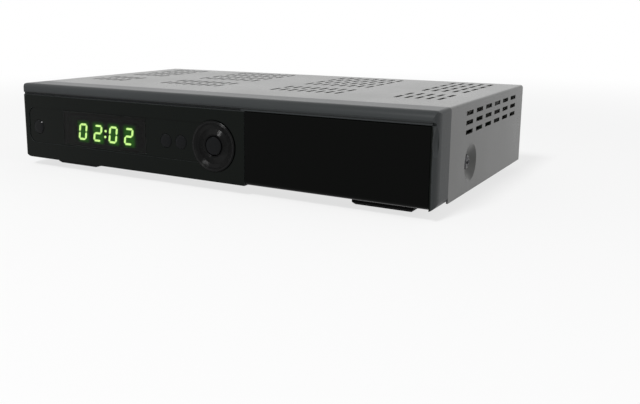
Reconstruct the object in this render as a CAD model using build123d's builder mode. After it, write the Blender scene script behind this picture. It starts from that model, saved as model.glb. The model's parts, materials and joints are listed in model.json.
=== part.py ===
from build123d import *
import os
from math import cos, pi, radians, sin, tan

# Satellite television receiver: a sheet-steel box behind a moulded front, with its
# boards, its rear connectors and a captive mains lead.
# Millimetres. +X is to the right seen from the front, +Y to the rear, +Z up.
# The origin is under the middle of the box (without its lead), at the feet's soles.

# ------------------------------------------------------------------ driving sizes
# Sheet-steel cover and chassis
cover_width = 250.0
cover_height = 42.5
cover_depth = 122.5
sheet = 0.8  # steel of the cover and the chassis
cover_bend = 1.6  # outside radius of the cover's two long bends
rim_top = 3.7  # the cover's rear edge, folded inwards
rim_side = 3.4
ear_z = 11.0  # the screw ears at the sides, above the cover's lower edge
ear_reach = 10.0  # from the cover's side to the ear's nose
ear_half_root = 6.8
ear_half_nose = 2.6
top_ear_reach = 8.2
flange_inset = 2.6  # from the cover's side down to the chassis flange inside it
flange_height = 22.0
lip_height = 6.0  # the chassis' front lip
gap = 0.1  # between pieces that lie on each other
play = 0.3  # round a piece that stands in a cut-out
clip_end = 46.0  # the outer tongues of the front moulding, from the cover's sides
clip_inner = (-28.0, 40.0)  # the inner tongues
clip_width = 12.0
clip_reach = 9.0

# Feet
foot_height = 5.0
foot_width = 30.0
foot_depth = 18.0
foot_bevel = 1.2
foot_inset = 29.0  # the feet's middles, from the cover's sides
foot_front = 4.5  # the front feet's noses, in front of the joint under the moulding
foot_rear = 18.0  # the rear feet's heels, in front of the rear edge
rivet_radius = 2.5
shank_radius = 1.5  # of the feet's and the standoffs' shanks in the floor

# Ventilation slots
vent_length = 10.0
vent_width = 2.0
vent_pitch = 5.4  # across
vent_row_pitch = 14.0  # along
vent_front_row = 37.3  # middle of the two front rows, behind the joint
vent_rear_row = 33.9  # middle of the four rear rows, in front of the rear edge
vent_outer_inset = 25.8  # middle of the outer fields, from the cover's sides
vent_inner_x = 37.4
side_vent_pitch = 15.1
side_vent_row_pitch = 4.4
side_vent_rear = 58.4  # middle of the slots, in front of the rear edge
side_vent_drop = 9.5  # middle row, below the cover's top

# Dimples in the cover's sides, one screw in each
dimple_y = 30.3
dimple_z = 13.6
dimple_radius = 8.9
dimple_floor_radius = 4.8
dimple_depth = 2.5

# Front moulding
bezel_depth = 17.4
bezel_wall = 2.4
front_wall = 2.2
brow_radius = 4.0
end_round = 2.4  # the rounded ends, seen from above: along the front
end_depth = 6.0  # and back along the sides
corner_round = 3.0  # the lower corner by the flap, seen from the front
left_corner_round = 5.5  # and the one at the left end
groove_drop = 5.3  # the shadow groove under the brow, below the cover's top
groove_height = 0.9
groove_depth = 1.8
inset_depth = 0.5  # the shallow field round the display and the keys
inset_end = 5.0  # from the left end
inset_low = 8.8
inset_high = 29.2
inset_corner = 5.0
boss_radius = 2.5  # the front board's screw bosses
boss_inset = 28.0  # the outer bosses, from the left end
boss_low = 6.0
boss_drop = 8.5
front_board_low = 3.2
front_board_play = 0.9  # under the moulding's top wall

# Keys, the navigation disc and the display, on the front
key_z = 18.0
key_play = 0.2
key_travel = 0.5
key_free = 0.1  # more room than the travel, in front of each switch's plunger
key_flange = 0.9
standby_inset = 12.8  # from the left end
standby_radius = 3.95
key_pitch = 9.6  # between the two small keys
key_to_disc = 20.8  # from the nearer one to the disc's middle
small_key_radius = 3.55
key_proud = 0.6
disc_x = 11.9
disc_radius = 12.75
disc_hole_radius = 5.1
disc_proud = 1.0
disc_play = 0.25
ok_radius = 4.6
ok_proud = 0.8
switch_ring = 9.0  # from the disc's middle to the four switches behind it
tact_size = 6.0
tact_body = 3.4
plunger_radius = 1.6
plunger_length = 0.9
key_stem_radius = 1.2
window_width = 60.0
window_shift = 3.35  # right of the middle between the keys beside it
window_low = 9.6
window_high = 28.4
window_thickness = 1.2
window_ledge = 2.0
window_corner = 0.8
digit_height = 8.2  # between the middles of the upper and lower bars
digit_width = 4.8
digit_pitch = 11.2
digit_shift = -0.3  # from the window's middle
digit_z = 17.5
segment_width = 1.1
segment_gap = 0.5
segment_proud = 0.3
colon_half = 1.6
module_half = 23.0
module_low = 7.6  # below and above the keys' middle
module_high = 6.6
ir_inset = 4.0  # from the window's right edge
digit_slant = 8.0  # degrees

# Flap on the right half of the front
door_from_disc = 17.9  # the flap's opening, from the disc's middle
door_play = 0.25
door_thickness = 2.2
door_low = 0.3  # above the cover's lower edge
knuckle_radius = 2.6  # also the round lower edge of the front moulding
hinge_pin_radius = 1.2
hinge_clearance = 0.05
hinge_pin_length = 1.0
bay_depth = 10.4  # from the front face to the wall behind the flap
partition = 2.4
scoop_drop = 13.3  # the finger scoop's middle, below the cover's top
scoop_half_height = 6.3
scoop_radius = 3.4
scoop_end_radius = 2.5
scoop_out = 1.4  # its axis, outside the right end
scoop_back = 0.6  # and behind the front

# Boards
board = 1.6
board_start = 10.0  # behind the joint
main_board_inset = 7.0  # from the cover's right side
power_board_inset = 8.0  # from its left side
power_board_width = 84.0
power_board_end = 88.0  # behind the joint
board_space = 10.0  # between the two boards
standoff_height = 5.0
standoff_radius = 2.6
screw_radius = 1.4
screw_head_radius = 2.6
screw_head = 1.4
front_board_face = 6.0  # the front board's face, in front of the joint

# Rear connectors: from the cover's right side, and above its lower edge
f_inset = 25.0
f_pitch = 15.4
f_drop = 9.3  # below the cover's top
f_radius = 4.76
f_bore_radius = 2.6
f_length = 10.5  # beyond the rear wall
can_depth = 48.0
can_wall = 0.6
can_end = 8.5  # beyond the barrels' middles
can_over_jacks = 1.5
phono_inset = 27.0
phono_pitch = 13.0
phono_z = 15.5
phono_radius = 4.15
phono_length = 8.0
phono_shoulder = 0.4
phono_bore = 2.95
phono_pin_radius = 1.6
jack_block = 6.0  # half the width of the jacks' moulded block
coax_flange_radius = 6.0
coax_inset = 115.2
coax_drop = 14.7
jack_screw_pitch = 9.8  # from the jack's middle
serial_inset = 72.7
serial_lift = 0.15  # above the middle between the SCART socket and the cover's top
serial_outline = (18.2, 9.6)  # the socket's shell
serial_flange = (30.8, 12.4)
serial_pitch = 25.0
serial_proud = 5.5
serial_depth = 16.5
serial_pin_pitch = 2.77
serial_row_pitch = 2.84
scart_inset = 48.1
scart_width = 48.2
scart_low = 6.5
scart_height = 17.5
scart_pitch = 3.81
scart_proud = 0.8
scart_rows = (17.3, 12.1)
scart_first = 4.3  # the first slot, from the socket's left edge
hdmi_shift = -0.2  # from the jack above it
hdmi_z = 11.1
hdmi_size = (15.0, 6.0)
hdmi_depth = 11.5
power_inset = 32.3  # from the left side
power_width = 21.9
power_height = 16.2
power_gap = 0.2  # under the strain relief's block
rocker_half = 7.2
rocker_height = 11.8
rocker_room = 7.9  # half the width of the opening round the rocker
rocker_tilt = 10.0  # degrees each way from level
axle_radius = 1.0
axle_bearing = 1.0
frame_proud = 1.6

# Card reader and USB socket behind the flap
card_width = 54.0
card_slot = 1.6
card_depth = 52.0
usb_inset = 15.0  # from the cover's right side
usb_width = 13.2
usb_height = 5.8
usb_depth = 19.0
port_z = 10.6  # middle of both, above the cover's lower edge

# Parts on the boards
processor_x = 40.0
processor_back = 62.0  # behind the joint
processor_size = 27.0
processor_height = 1.8
memory_size = (22.0, 10.0, 1.2)
memory_shift = 29.0  # left of the processor
memory_back = (6.0, -8.0)
decoder_size = (14.0, 14.0, 1.4)
decoder_shift = 44.0  # right of the processor
driver_size = (8.0, 6.0, 1.6)
sink_size = 24.0
sink_base = 2.4
fin_height = 7.2
fin_thickness = 1.0
fin_pitch = 3.4
header_height = 5.0
header_width = 14.0
header_depth = 5.0
front_header_z = 23.0
ribbon_inset = 17.0  # from the main board's left edge
ribbon_back = 16.0
ribbon_width = 12.0
ribbon_thickness = 0.8
harness_back = 50.0
harness_width = 12.0
harness_thickness = 1.2
harness_rise = 9.0
cable_bend = 5.0
core_inset = 53.0  # from the cover's left side
core_back = 46.0
core_width = 24.0
core_depth = 7.0
core_height = 18.0
core_leg = 4.0
core_post = 3.0  # half the width of the middle post
core_lift = 3.0
pin_row = 20.0
winding_depth = 17.0
main_capacitor_radius = 9.0
main_capacitor_height = 25.0
main_capacitor_inset = 25.0
main_capacitor_back = 40.0
capacitor_gap = 5.0  # from the transformer to the tall capacitors
small_capacitor_step = (-10.0, 12.0)  # from the last of the row to the one beside it
large_capacitor = (5.0, 20.0)  # radius and height
small_capacitor = (4.0, 12.0)
large_capacitor_backs = (28.0, 41.0)
small_capacitor_backs = (54.0, 64.0)
power_sink_inset = 39.0
power_sink_back = 66.0
power_sink_width = 26.0
power_sink_height = 24.0
power_sink_wall = 2.0
power_sink_fin = 9.0

# Mains lead
relief_inset = 20.2  # from the cover's left side
relief_drop = 11.5
relief_block = (14.4, 12.4)
relief_neck = (10.4, 8.4)
relief_length = 21.0
boot_root_radius = 5.2
boot_tip_radius = 3.9
boot_ribs = 5
rib_pitch = 3.0
cord_diameter = 5.0
coil_shift = 34.3  # from the strain relief
coil_reach = 72.2  # behind the boot's end
coil_inner = 17.5
coil_outer = 41.3
coil_height = 10.2
tie_thickness = 0.8
tie_width = 5.0
plug_length = 36.0
plug_height = 13.8
plug_pin_length = 19.0
plug_pin_radius = 2.0
plug_pin_spacing = 18.6

# ------------------------------------------------------------------ derived places
low = foot_height  # the cover's lower edge
high = low + cover_height
half = cover_width / 2
front_reach = bezel_depth + disc_proud
rear_reach = cover_depth - sheet + f_length
joint = (front_reach - rear_reach) / 2  # the plane between the cover and the front
front_face = joint - bezel_depth
rear_end = joint + cover_depth
rear_face = rear_end - sheet  # the rear wall's outer face, inside the folded rim
rear_inner = rear_face - sheet
middle_y = joint + cover_depth / 2
flange_x = half - sheet - flange_inset  # outer face of the chassis' side flanges
floor_top = low + sheet
board_low = floor_top + standoff_height
board_top = board_low + board
board_front = joint - front_board_face
middle_z = low + cover_height / 2
clip_x = (clip_end - half, *clip_inner, half - clip_end)
groove_high = cover_height - groove_drop  # above the cover's lower edge
groove_low = groove_high - groove_height
ear_holes = [
    (-half + ear_reach - 4.3, low + ear_z),
    (half - ear_reach + 4.3, low + ear_z),
    (0, high - top_ear_reach + 3.6),
]
foot_places = [
    (side * (half - foot_inset), y)
    for side in (-1, 1)
    for y in (joint - foot_front + foot_depth / 2, rear_end - foot_rear - foot_depth / 2)
]

# Along the front
exit_x = disc_x - key_to_disc
menu_x = exit_x - key_pitch
standby_x = standby_inset - half
window_x = (standby_x + menu_x) / 2 + window_shift
window_left = window_x - window_width / 2
window_right = window_x + window_width / 2
digit_middle = window_x + digit_shift
ir_x = window_right - ir_inset
inset_left = inset_end - half
door_left = disc_x + door_from_disc
door_right = half - end_round
usb_x = half - usb_inset
card_x = (door_left + usb_x - usb_width / 2 - play) / 2
boss_places = [
    (x, low + z)
    for x in (boss_inset - half, window_right + ir_inset)
    for z in (boss_low, cover_height - boss_drop)
]

# Along the rear
f_x = (half - f_inset, half - f_inset - f_pitch)
f_z = cover_height - f_drop
phono_x = (half - phono_inset, half - phono_inset - phono_pitch)
coax_x = half - coax_inset
coax_z = cover_height - coax_drop
jack_screw_x = coax_x - jack_screw_pitch
hdmi_x = coax_x + hdmi_shift
scart_right = half - scart_inset
scart_left = scart_right - scart_width
scart_high = scart_low + scart_height
serial_x = half - serial_inset
serial_z = (scart_high + cover_height - sheet) / 2 + serial_lift
relief_x = relief_inset - half
relief_z = cover_height - relief_drop
power_x = power_inset - half
power_z = relief_z - (relief_block[1] + power_height) / 2 - power_gap

# Boards, with their screws
power_board_x = (power_board_inset - half, power_board_inset - half + power_board_width)
power_board_y = (joint + board_start, joint + power_board_end)
main_x = (power_board_x[1] + board_space, half - main_board_inset)
main_y = (joint + board_start, rear_inner - 2 * sheet)
main_standoffs = [(x, y) for x in (main_x[0] + 5, main_x[1] - 5) for y in (joint + 22, rear_inner - 22)]
power_standoffs = [
    (x, y)
    for x in (power_board_x[0] + 5, power_board_x[1] - 5)
    for y in (power_board_y[0] + 5, power_board_y[1] - 8)
]
standoff_places = main_standoffs + power_standoffs


def from_front(y):
    """A drawing plane at y, seen from the front: right is +X, up is +Z, out is -Y."""
    return Plane(origin=(0, y, 0), x_dir=(1, 0, 0), z_dir=(0, -1, 0))


def from_right(x):
    """A drawing plane at x, seen from the right: right is +Y, up is +Z, out is +X."""
    return Plane(origin=(x, 0, 0), x_dir=(0, 1, 0), z_dir=(1, 0, 0))


def block(x, y, z, mode=Mode.ADD):
    """A rectangular block between a pair of limits along each axis."""
    with Locations(tuple((a + b) / 2 for a, b in (x, y, z))):
        Box(*(abs(b - a) for a, b in (x, y, z)), mode=mode)


def rod(x, z, radius, y0, y1, mode=Mode.ADD):
    """A cylinder along Y between two depths."""
    with Locations(Location((x, (y0 + y1) / 2, z), (90, 0, 0))):
        Cylinder(radius, abs(y1 - y0), mode=mode)


def turned(outline, x, z, mode=Mode.ADD):
    """Turn an outline of (radius, y) points about the line along Y through (x, z)."""
    with BuildSketch(Plane.XY.offset(z), mode=Mode.PRIVATE) as profile:
        with BuildLine():
            Polyline(*[(x + r, y) for r, y in outline], close=True)
        make_face()
    revolve(profile.sketch, axis=Axis((x, 0, z), (0, 1, 0)), mode=mode)


def turned_across(outline, y, z, mode=Mode.ADD):
    """Turn an outline of (x, radius) points about the line along X through (y, z)."""
    with BuildSketch(Plane.XY.offset(z), mode=Mode.PRIVATE) as profile:
        with BuildLine():
            Polyline(*[(x, y + r) for x, r in outline], close=True)
        make_face()
    revolve(profile.sketch, axis=Axis((0, y, z), (1, 0, 0)), mode=mode)


def turned_up(outline, x, y, mode=Mode.ADD):
    """Turn an outline of (radius, z) points about the upright line through (x, y)."""
    with BuildSketch(Plane.XZ.offset(-y), mode=Mode.PRIVATE) as profile:
        with BuildLine():
            Polyline(*[(x + r, z) for r, z in outline], close=True)
        make_face()
    revolve(profile.sketch, axis=Axis((x, y, 0), (0, 0, 1)), mode=mode)


def pan_screw(x, y, z, out, length, radius=screw_radius - 0.05, head_radius=screw_head_radius):
    """A pan-head screw along Y, its head at y; out is +1 if the head points to the rear."""
    shoulder = y + out * screw_head * 0.55
    crown = y + out * screw_head
    tip = y - out * length
    turned(
        [(0, tip), (radius, tip), (radius, y), (head_radius, y), (head_radius, shoulder),
         (head_radius * 0.6, crown), (0, crown)],
        x,
        z,
    )


# ------------------------------------------------------------------ top cover
with BuildPart() as top_cover:
    block((-half, half), (joint, rear_end), (low, high))
    fillet(top_cover.edges().filter_by(Axis.Y).group_by(Axis.Z)[-1], cover_bend)
    open_faces = [
        top_cover.faces().sort_by(Axis.Z)[0],
        top_cover.faces().sort_by(Axis.Y)[0],
        top_cover.faces().sort_by(Axis.Y)[-1],
    ]
    offset(amount=-sheet, openings=open_faces)
    # Slots in the top: two rows in front and four behind, in four fields
    with BuildSketch(Plane.XY.offset(high - 2 * sheet)):
        for field_x, columns in (
            (vent_outer_inset - half, 5),
            (-vent_inner_x, 8),
            (vent_inner_x, 8),
            (half - vent_outer_inset, 5),
        ):
            for row_y, rows in ((joint + vent_front_row, 2), (rear_end - vent_rear_row, 4)):
                with Locations((field_x, row_y)):
                    with GridLocations(vent_pitch, vent_row_pitch, columns, rows):
                        Rectangle(vent_width, vent_length)
    extrude(amount=3 * sheet, mode=Mode.SUBTRACT)
    # Slots through both sides
    with BuildSketch(from_right(-half - 1)):
        with Locations((rear_end - side_vent_rear, high - side_vent_drop)):
            with GridLocations(side_vent_pitch, side_vent_row_pitch, 6, 3):
                Rectangle(vent_length, vent_width)
    extrude(amount=cover_width + 2, mode=Mode.SUBTRACT)
    # A pressed dimple in each side, for its screw
    with BuildSketch(from_right(-half - 1)):
        with Locations((joint + dimple_y, low + dimple_z)):
            Circle(dimple_radius)
    extrude(amount=cover_width + 2, mode=Mode.SUBTRACT)
    dish_hole = screw_radius + 0.2
    for side in (-1, 1):
        turned_across(
            [
                (side * half, dimple_radius),
                (side * (half - dimple_depth), dimple_floor_radius),
                (side * (half - dimple_depth), dish_hole),
                (side * (half - dimple_depth - sheet), dish_hole),
                (side * (half - dimple_depth - sheet), dimple_floor_radius),
                (side * (half - sheet), dimple_radius),
            ],
            joint + dimple_y,
            low + dimple_z,
        )
    # The rear edge is folded inwards, with three ears for screws
    with BuildSketch(from_front(rear_end)) as rim:
        with Locations((0, middle_z)):
            Rectangle(cover_width, cover_height)
        fillet(rim.vertices().group_by(Axis.Y)[-1], cover_bend)
        with Locations((0, low + (cover_height - rim_top) / 2)):
            Rectangle(
                cover_width - 2 * rim_side, cover_height - rim_top, mode=Mode.SUBTRACT
            )
        for side in (-1, 1):
            with BuildLine():
                Polyline(
                    (side * (half - 1), low + ear_z + ear_half_root),
                    (side * (half - rim_side), low + ear_z + ear_half_root),
                    (side * (half - ear_reach), low + ear_z + ear_half_nose),
                    (side * (half - ear_reach), low + ear_z - ear_half_nose),
                    (side * (half - rim_side), low + ear_z - ear_half_root),
                    (side * (half - 1), low + ear_z - ear_half_root),
                    close=True,
                )
            make_face()
        with BuildLine():
            Polyline(
                (-ear_half_root, high - 1),
                (-ear_half_root, high - rim_top),
                (-ear_half_nose, high - top_ear_reach),
                (ear_half_nose, high - top_ear_reach),
                (ear_half_root, high - rim_top),
                (ear_half_root, high - 1),
                close=True,
            )
        make_face()
        with Locations(*ear_holes):
            Circle(screw_radius + 0.2, mode=Mode.SUBTRACT)
    extrude(amount=sheet)

# ------------------------------------------------------------------ chassis
power_body = (power_width - 2.4, power_height - 1.2)  # behind the switch's flange
serial_holes = [(serial_x + side * serial_pitch / 2, low + serial_z) for side in (-1, 1)]
with BuildPart() as chassis:
    # Floor, side flanges and front lip, bent from one sheet with the rear wall
    block((-flange_x, flange_x), (joint + gap, rear_face), (low, floor_top))
    for side in (-1, 1):
        block(
            (side * flange_x, side * (flange_x - sheet)),
            (joint + 4, rear_face - 4),
            (low, low + flange_height),
        )
    block(
        (-flange_x + 6, flange_x - 6), (joint + gap, joint + gap + sheet), (low, low + lip_height)
    )
    for x in clip_x:
        block(
            (x - clip_width / 2 - play, x + clip_width / 2 + play),
            (joint, joint + 2),
            (floor_top, low + lip_height + 1),
            mode=Mode.SUBTRACT,
        )
    wall_x = half - sheet - gap
    block((-wall_x, wall_x), (rear_inner, rear_face - gap), (low, high - sheet - gap))
    fillet(chassis.edges().filter_by(Axis.Y).group_by(Axis.Z)[-1], cover_bend)
    # Threaded holes for the cover's side screws
    with Locations(Location((0, joint + dimple_y, low + dimple_z), (0, 90, 0))):
        Cylinder(screw_radius, cover_width, mode=Mode.SUBTRACT)
    # Openings for the connectors
    with BuildSketch(from_front(rear_face + 1)):
        with Locations(*[(x, low + f_z) for x in f_x]):
            Circle(f_radius + 1.9)
        with Locations(*[(x, low + phono_z) for x in phono_x]):
            Circle(phono_radius + 1.0)
        with Locations((coax_x, low + coax_z)):
            Circle(phono_radius + phono_shoulder + play)
        with Locations((jack_screw_x, low + coax_z)):
            Circle(screw_radius)
        with Locations((serial_x, low + serial_z)):
            Rectangle(*(size + 2 * play for size in serial_outline))
        with Locations(*serial_holes):
            Circle(screw_radius)
        with Locations(((scart_left + scart_right) / 2, low + (scart_low + scart_high) / 2)):
            Rectangle(scart_right - scart_left + 2 * play, scart_high - scart_low + 2 * play)
        with Locations((hdmi_x, low + hdmi_z)):
            Rectangle(*(size + 2 * play for size in hdmi_size))
        with Locations((power_x, low + power_z)):
            Rectangle(*(size + 2 * play for size in power_body))
        with Locations((relief_x, low + relief_z)):
            Rectangle(*(size + 2 * play for size in relief_neck))
        with Locations(*ear_holes):
            Circle(screw_radius)
    extrude(amount=4, mode=Mode.SUBTRACT)
    # Holes for the shanks of the feet's rivets and the standoffs
    with Locations(*[(x, y, floor_top) for x, y in foot_places + standoff_places]):
        Hole(shank_radius)

# ------------------------------------------------------------------ feet
with BuildPart() as feet:
    for x, y in foot_places:
        block(
            (x - foot_width / 2, x + foot_width / 2),
            (y - foot_depth / 2, y + foot_depth / 2),
            (0, foot_height),
        )
    chamfer(feet.faces().filter_by_position(Axis.Z, -0.1, 0.1).edges(), foot_bevel)
    with Locations(*[(x, y, foot_height) for x, y in foot_places]):
        Cylinder(shank_radius - 0.05, sheet + 0.6, align=(Align.CENTER, Align.CENTER, Align.MIN))
    # A rivet head on top of each shank, inside the chassis
    with Locations(*[(x, y, floor_top + gap) for x, y in foot_places]):
        Cylinder(rivet_radius, 0.9, align=(Align.CENTER, Align.CENTER, Align.MIN))

# ------------------------------------------------------------------ front moulding
wall_inside = front_face + front_wall  # the front wall's inner face
bay_back = front_face + bay_depth  # the wall behind the flap, its face
hinge_y = front_face + knuckle_radius
hinge_z = low + door_low + knuckle_radius
ceiling = low + groove_low + 0.1  # the underside of the ledge over the flap
disc_places = [(disc_x, low + key_z + side * switch_ring) for side in (-1, 1)] + [
    (disc_x + side * switch_ring, low + key_z) for side in (-1, 1)
]
with BuildPart() as front_bezel:
    # Seen from above: a bar with rounded ends
    end_y = front_face + end_depth
    with BuildSketch(Plane.XY.offset(low)):
        with BuildLine():
            Line((half, joint), (half, end_y))
            EllipticalCenterArc(
                (half - end_round, end_y), end_round, end_depth, start_angle=-90, arc_size=90
            )
            Line((half - end_round, front_face), (end_round - half, front_face))
            EllipticalCenterArc(
                (end_round - half, end_y), end_round, end_depth, start_angle=180, arc_size=90
            )
            Line((-half, end_y), (-half, joint))
            Line((-half, joint), (half, joint))
        make_face()
    extrude(amount=cover_height)
    # Seen from the side: flat top, rounded brow, shadow groove, upright face, round lower edge
    with BuildSketch(from_right(-half - 1)):
        with BuildLine():
            Line((joint + 1, low), (joint + 1, high))
            Line((joint + 1, high), (front_face + brow_radius, high))
            ThreePointArc(
                (front_face + brow_radius, high),
                (front_face + brow_radius * (1 - sin(pi / 4)), high - brow_radius * (1 - sin(pi / 4))),
                (front_face, high - brow_radius),
            )
            Polyline(
                (front_face, high - brow_radius),
                (front_face + 0.5, low + groove_high + 0.4),
                (front_face + groove_depth, low + groove_high),
                (front_face + groove_depth, low + groove_low),
                (front_face, low + groove_low - 0.2),
                (front_face, low + knuckle_radius),
            )
            ThreePointArc(
                (front_face, low + knuckle_radius),
                (front_face + knuckle_radius * (1 - sin(pi / 4)), low + knuckle_radius * (1 - sin(pi / 4))),
                (front_face + knuckle_radius, low),
            )
            Line((front_face + knuckle_radius, low), (joint + 1, low))
        make_face()
    extrude(amount=cover_width + 2, mode=Mode.INTERSECT)
    # Seen from the front: round corners
    with BuildSketch(from_front(joint + 1)) as outline:
        with Locations((0, middle_z)):
            Rectangle(cover_width, cover_height)
        fillet(outline.vertices().group_by(Axis.Y)[-1], cover_bend)
        fillet(outline.vertices().group_by(Axis.Y)[0].sort_by(Axis.X)[-1], corner_round)
        fillet(outline.vertices().group_by(Axis.Y)[0].sort_by(Axis.X)[0], left_corner_round)
    extrude(amount=bezel_depth + 2, mode=Mode.INTERSECT)
    # Hollow behind the front wall
    block(
        (-half + bezel_wall, half - bezel_wall),
        (wall_inside, joint + 1),
        (low + bezel_wall, high - bezel_wall),
        mode=Mode.SUBTRACT,
    )
    # A rim inside the cover's front edge, and tongues on the chassis' floor
    rim_x = half - sheet - gap
    rim_z = high - sheet - gap
    block((-rim_x, rim_x), (joint, joint + 3), (low + 4, rim_z))
    rim_edges = front_bezel.edges().filter_by(Axis.Y).filter_by(lambda edge: edge.center().Y > joint)
    fillet(rim_edges.group_by(Axis.Z)[-1], 1.0)
    block((-rim_x + 1, rim_x - 1), (joint - 1, joint), (rim_z - 3, rim_z - 1))
    block(
        (-rim_x + 1.2, rim_x - 1.2), (joint - 2, joint + 4), (low + 1, rim_z - 1.2), mode=Mode.SUBTRACT
    )
    for x in clip_x:
        block(
            (x - clip_width / 2, x + clip_width / 2),
            (joint - 2, joint + clip_reach),
            (floor_top + gap, low + bezel_wall),
        )
    # The bay behind the flap: its walls, then its opening
    block(
        (door_left - partition, half - bezel_wall),
        (front_face + 1, bay_back + bezel_wall),
        (low + 1, high - bezel_wall),
    )
    block(
        (door_left, door_right),
        (front_face - 1, bay_back),
        (low + bezel_wall, ceiling),
        mode=Mode.SUBTRACT,
    )
    block(
        (door_left, door_right), (front_face - 1, hinge_y + 1.6), (low - 1, hinge_z), mode=Mode.SUBTRACT
    )
    knuckle_room = knuckle_radius + 0.4
    with Locations(Location(((door_left + door_right) / 2, hinge_y, hinge_z), (0, 90, 0))):
        Cylinder(knuckle_room, door_right - door_left, mode=Mode.SUBTRACT)
    with Locations(Location(((door_left + door_right) / 2, hinge_y, hinge_z), (0, 90, 0))):
        Cylinder(
            hinge_pin_radius + hinge_clearance,
            door_right - door_left + 2 * (hinge_pin_length + 0.2 - door_play),
            mode=Mode.SUBTRACT,
        )
    # Slots for the card and the USB plug, with a lead-in round each
    with BuildSketch(from_front(bay_back - 1)):
        with Locations((card_x, low + port_z)):
            Rectangle(card_width + 1.4, card_slot + 0.8)
        with Locations((usb_x, low + port_z)):
            Rectangle(usb_width + 2 * play, usb_height + 2 * play)
    extrude(amount=-(bezel_wall + 2), mode=Mode.SUBTRACT)
    # The shallow field and the openings in it
    with BuildSketch(from_front(front_face - 1)):
        with Locations(((inset_left + disc_x) / 2, low + (inset_low + inset_high) / 2)):
            RectangleRounded(disc_x - inset_left, inset_high - inset_low, inset_corner)
    extrude(amount=-(1 + inset_depth), mode=Mode.SUBTRACT)
    window_z = low + (window_low + window_high) / 2
    window_size = (window_right - window_left, window_high - window_low)
    with BuildSketch(from_front(front_face)):
        with Locations((window_x, window_z)):
            Rectangle(*(size + 2 * gap for size in window_size))
    extrude(amount=-(inset_depth + window_thickness), mode=Mode.SUBTRACT)
    with BuildSketch(from_front(front_face)):
        with Locations((window_x, window_z)):
            Rectangle(*(size - 2 * window_ledge for size in window_size))
        with Locations((standby_x, low + key_z)):
            Circle(standby_radius + key_play)
        with Locations((menu_x, low + key_z), (exit_x, low + key_z)):
            Circle(small_key_radius + key_play)
        with Locations((disc_x, low + key_z)):
            Circle(disc_radius + disc_play)
    extrude(amount=-(front_wall + 1), mode=Mode.SUBTRACT)
    # Finger scoop in the right end, beside the flap's edge
    scoop_x = half + scoop_out
    scoop_y = front_face + scoop_back
    scoop_z = high - scoop_drop
    with BuildSketch(Plane.XZ.offset(-scoop_y)):
        with BuildLine():
            ThreePointArc(
                (scoop_x - scoop_end_radius, scoop_z - scoop_half_height),
                (scoop_x - scoop_radius, scoop_z),
                (scoop_x - scoop_end_radius, scoop_z + scoop_half_height),
            )
            Polyline(
                (scoop_x - scoop_end_radius, scoop_z + scoop_half_height),
                (scoop_x, scoop_z + scoop_half_height),
                (scoop_x, scoop_z - scoop_half_height),
                (scoop_x - scoop_end_radius, scoop_z - scoop_half_height),
            )
        make_face()
    revolve(axis=Axis((scoop_x, scoop_y, 0), (0, 0, 1)), mode=Mode.SUBTRACT)
    # Bosses that carry the front board
    for x, z in boss_places:
        rod(x, z, boss_radius, wall_inside - 0.2, board_front)
        rod(x, z, screw_radius, wall_inside + 1, board_front + 1, mode=Mode.SUBTRACT)

# ------------------------------------------------------------------ display
window_front = front_face + inset_depth
with BuildPart() as display_window:
    block(
        (window_left, window_right),
        (window_front, window_front + window_thickness - gap),
        (low + window_low, low + window_high),
    )
    fillet(display_window.edges().filter_by(Axis.Y), window_corner)

module_face = window_front + window_thickness + 1.0
with BuildPart() as display_module:
    block(
        (digit_middle - module_half, digit_middle + module_half),
        (module_face, board_front - gap),
        (low + key_z - module_low, low + key_z + module_high),
    )
    chamfer(display_module.faces().sort_by(Axis.Y)[0].edges(), 0.6)

SEGMENTS = {"0": "abcdef", "2": "abged"}
bar = digit_height / 2 - segment_gap  # length of an upright segment
span = digit_width - segment_gap
segment_middles = {
    "a": (0, digit_height / 2, False),
    "g": (0, 0, False),
    "d": (0, -digit_height / 2, False),
    "f": (-digit_width / 2, digit_height / 4, True),
    "b": (digit_width / 2, digit_height / 4, True),
    "e": (-digit_width / 2, -digit_height / 4, True),
    "c": (digit_width / 2, -digit_height / 4, True),
}
lean = tan(radians(digit_slant))


def bar_corners(middle_x, middle_z, upright, length):
    """The six corners of one bar of a digit, leaning to the right."""
    t = segment_width / 2
    along = [(-length / 2, 0), (-length / 2 + t, t), (length / 2 - t, t), (length / 2, 0)]
    along += [(length / 2 - t, -t), (-length / 2 + t, -t)]
    points = [(middle_x + (b if upright else a), middle_z + (a if upright else b)) for a, b in along]
    return [(x + lean * z, z) for x, z in points]


with BuildPart() as display_digits:
    with BuildSketch(from_front(module_face)):
        for place, digit in enumerate("0202"):
            with Locations((digit_middle + (place - 1.5) * digit_pitch, low + digit_z)):
                for name in SEGMENTS[digit]:
                    x, z, upright = segment_middles[name]
                    Polygon(*bar_corners(x, z, upright, bar if upright else span), align=None)
        for z in (-colon_half, colon_half):
            with Locations((digit_middle + lean * z, low + digit_z + z)):
                Circle(segment_width * 0.6)
    extrude(amount=segment_proud)

# ------------------------------------------------------------------ keys and disc
stem_tip = board_front - tact_body - plunger_length - key_travel - key_free


def key_cap(x, front, radius, flange_front):
    """A round key: a domed cap, a flange that keeps it behind the wall, and a stem."""
    turned(
        [
            (0, stem_tip),
            (key_stem_radius, stem_tip),
            (key_stem_radius, flange_front + key_flange),
            (radius + key_flange, flange_front + key_flange),
            (radius + key_flange, flange_front),
            (radius, flange_front),
            (radius, front + 0.6),
            (radius - 0.5, front + 0.1),
            (radius * 0.5, front),
            (0, front),
        ],
        x,
        low + key_z,
    )


with BuildPart() as standby_button:
    key_cap(standby_x, window_front - key_proud, standby_radius, wall_inside + gap)

with BuildPart() as menu_button:
    key_cap(menu_x, window_front - key_proud, small_key_radius, wall_inside + gap)

with BuildPart() as exit_button:
    key_cap(exit_x, window_front - key_proud, small_key_radius, wall_inside + gap)

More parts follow.
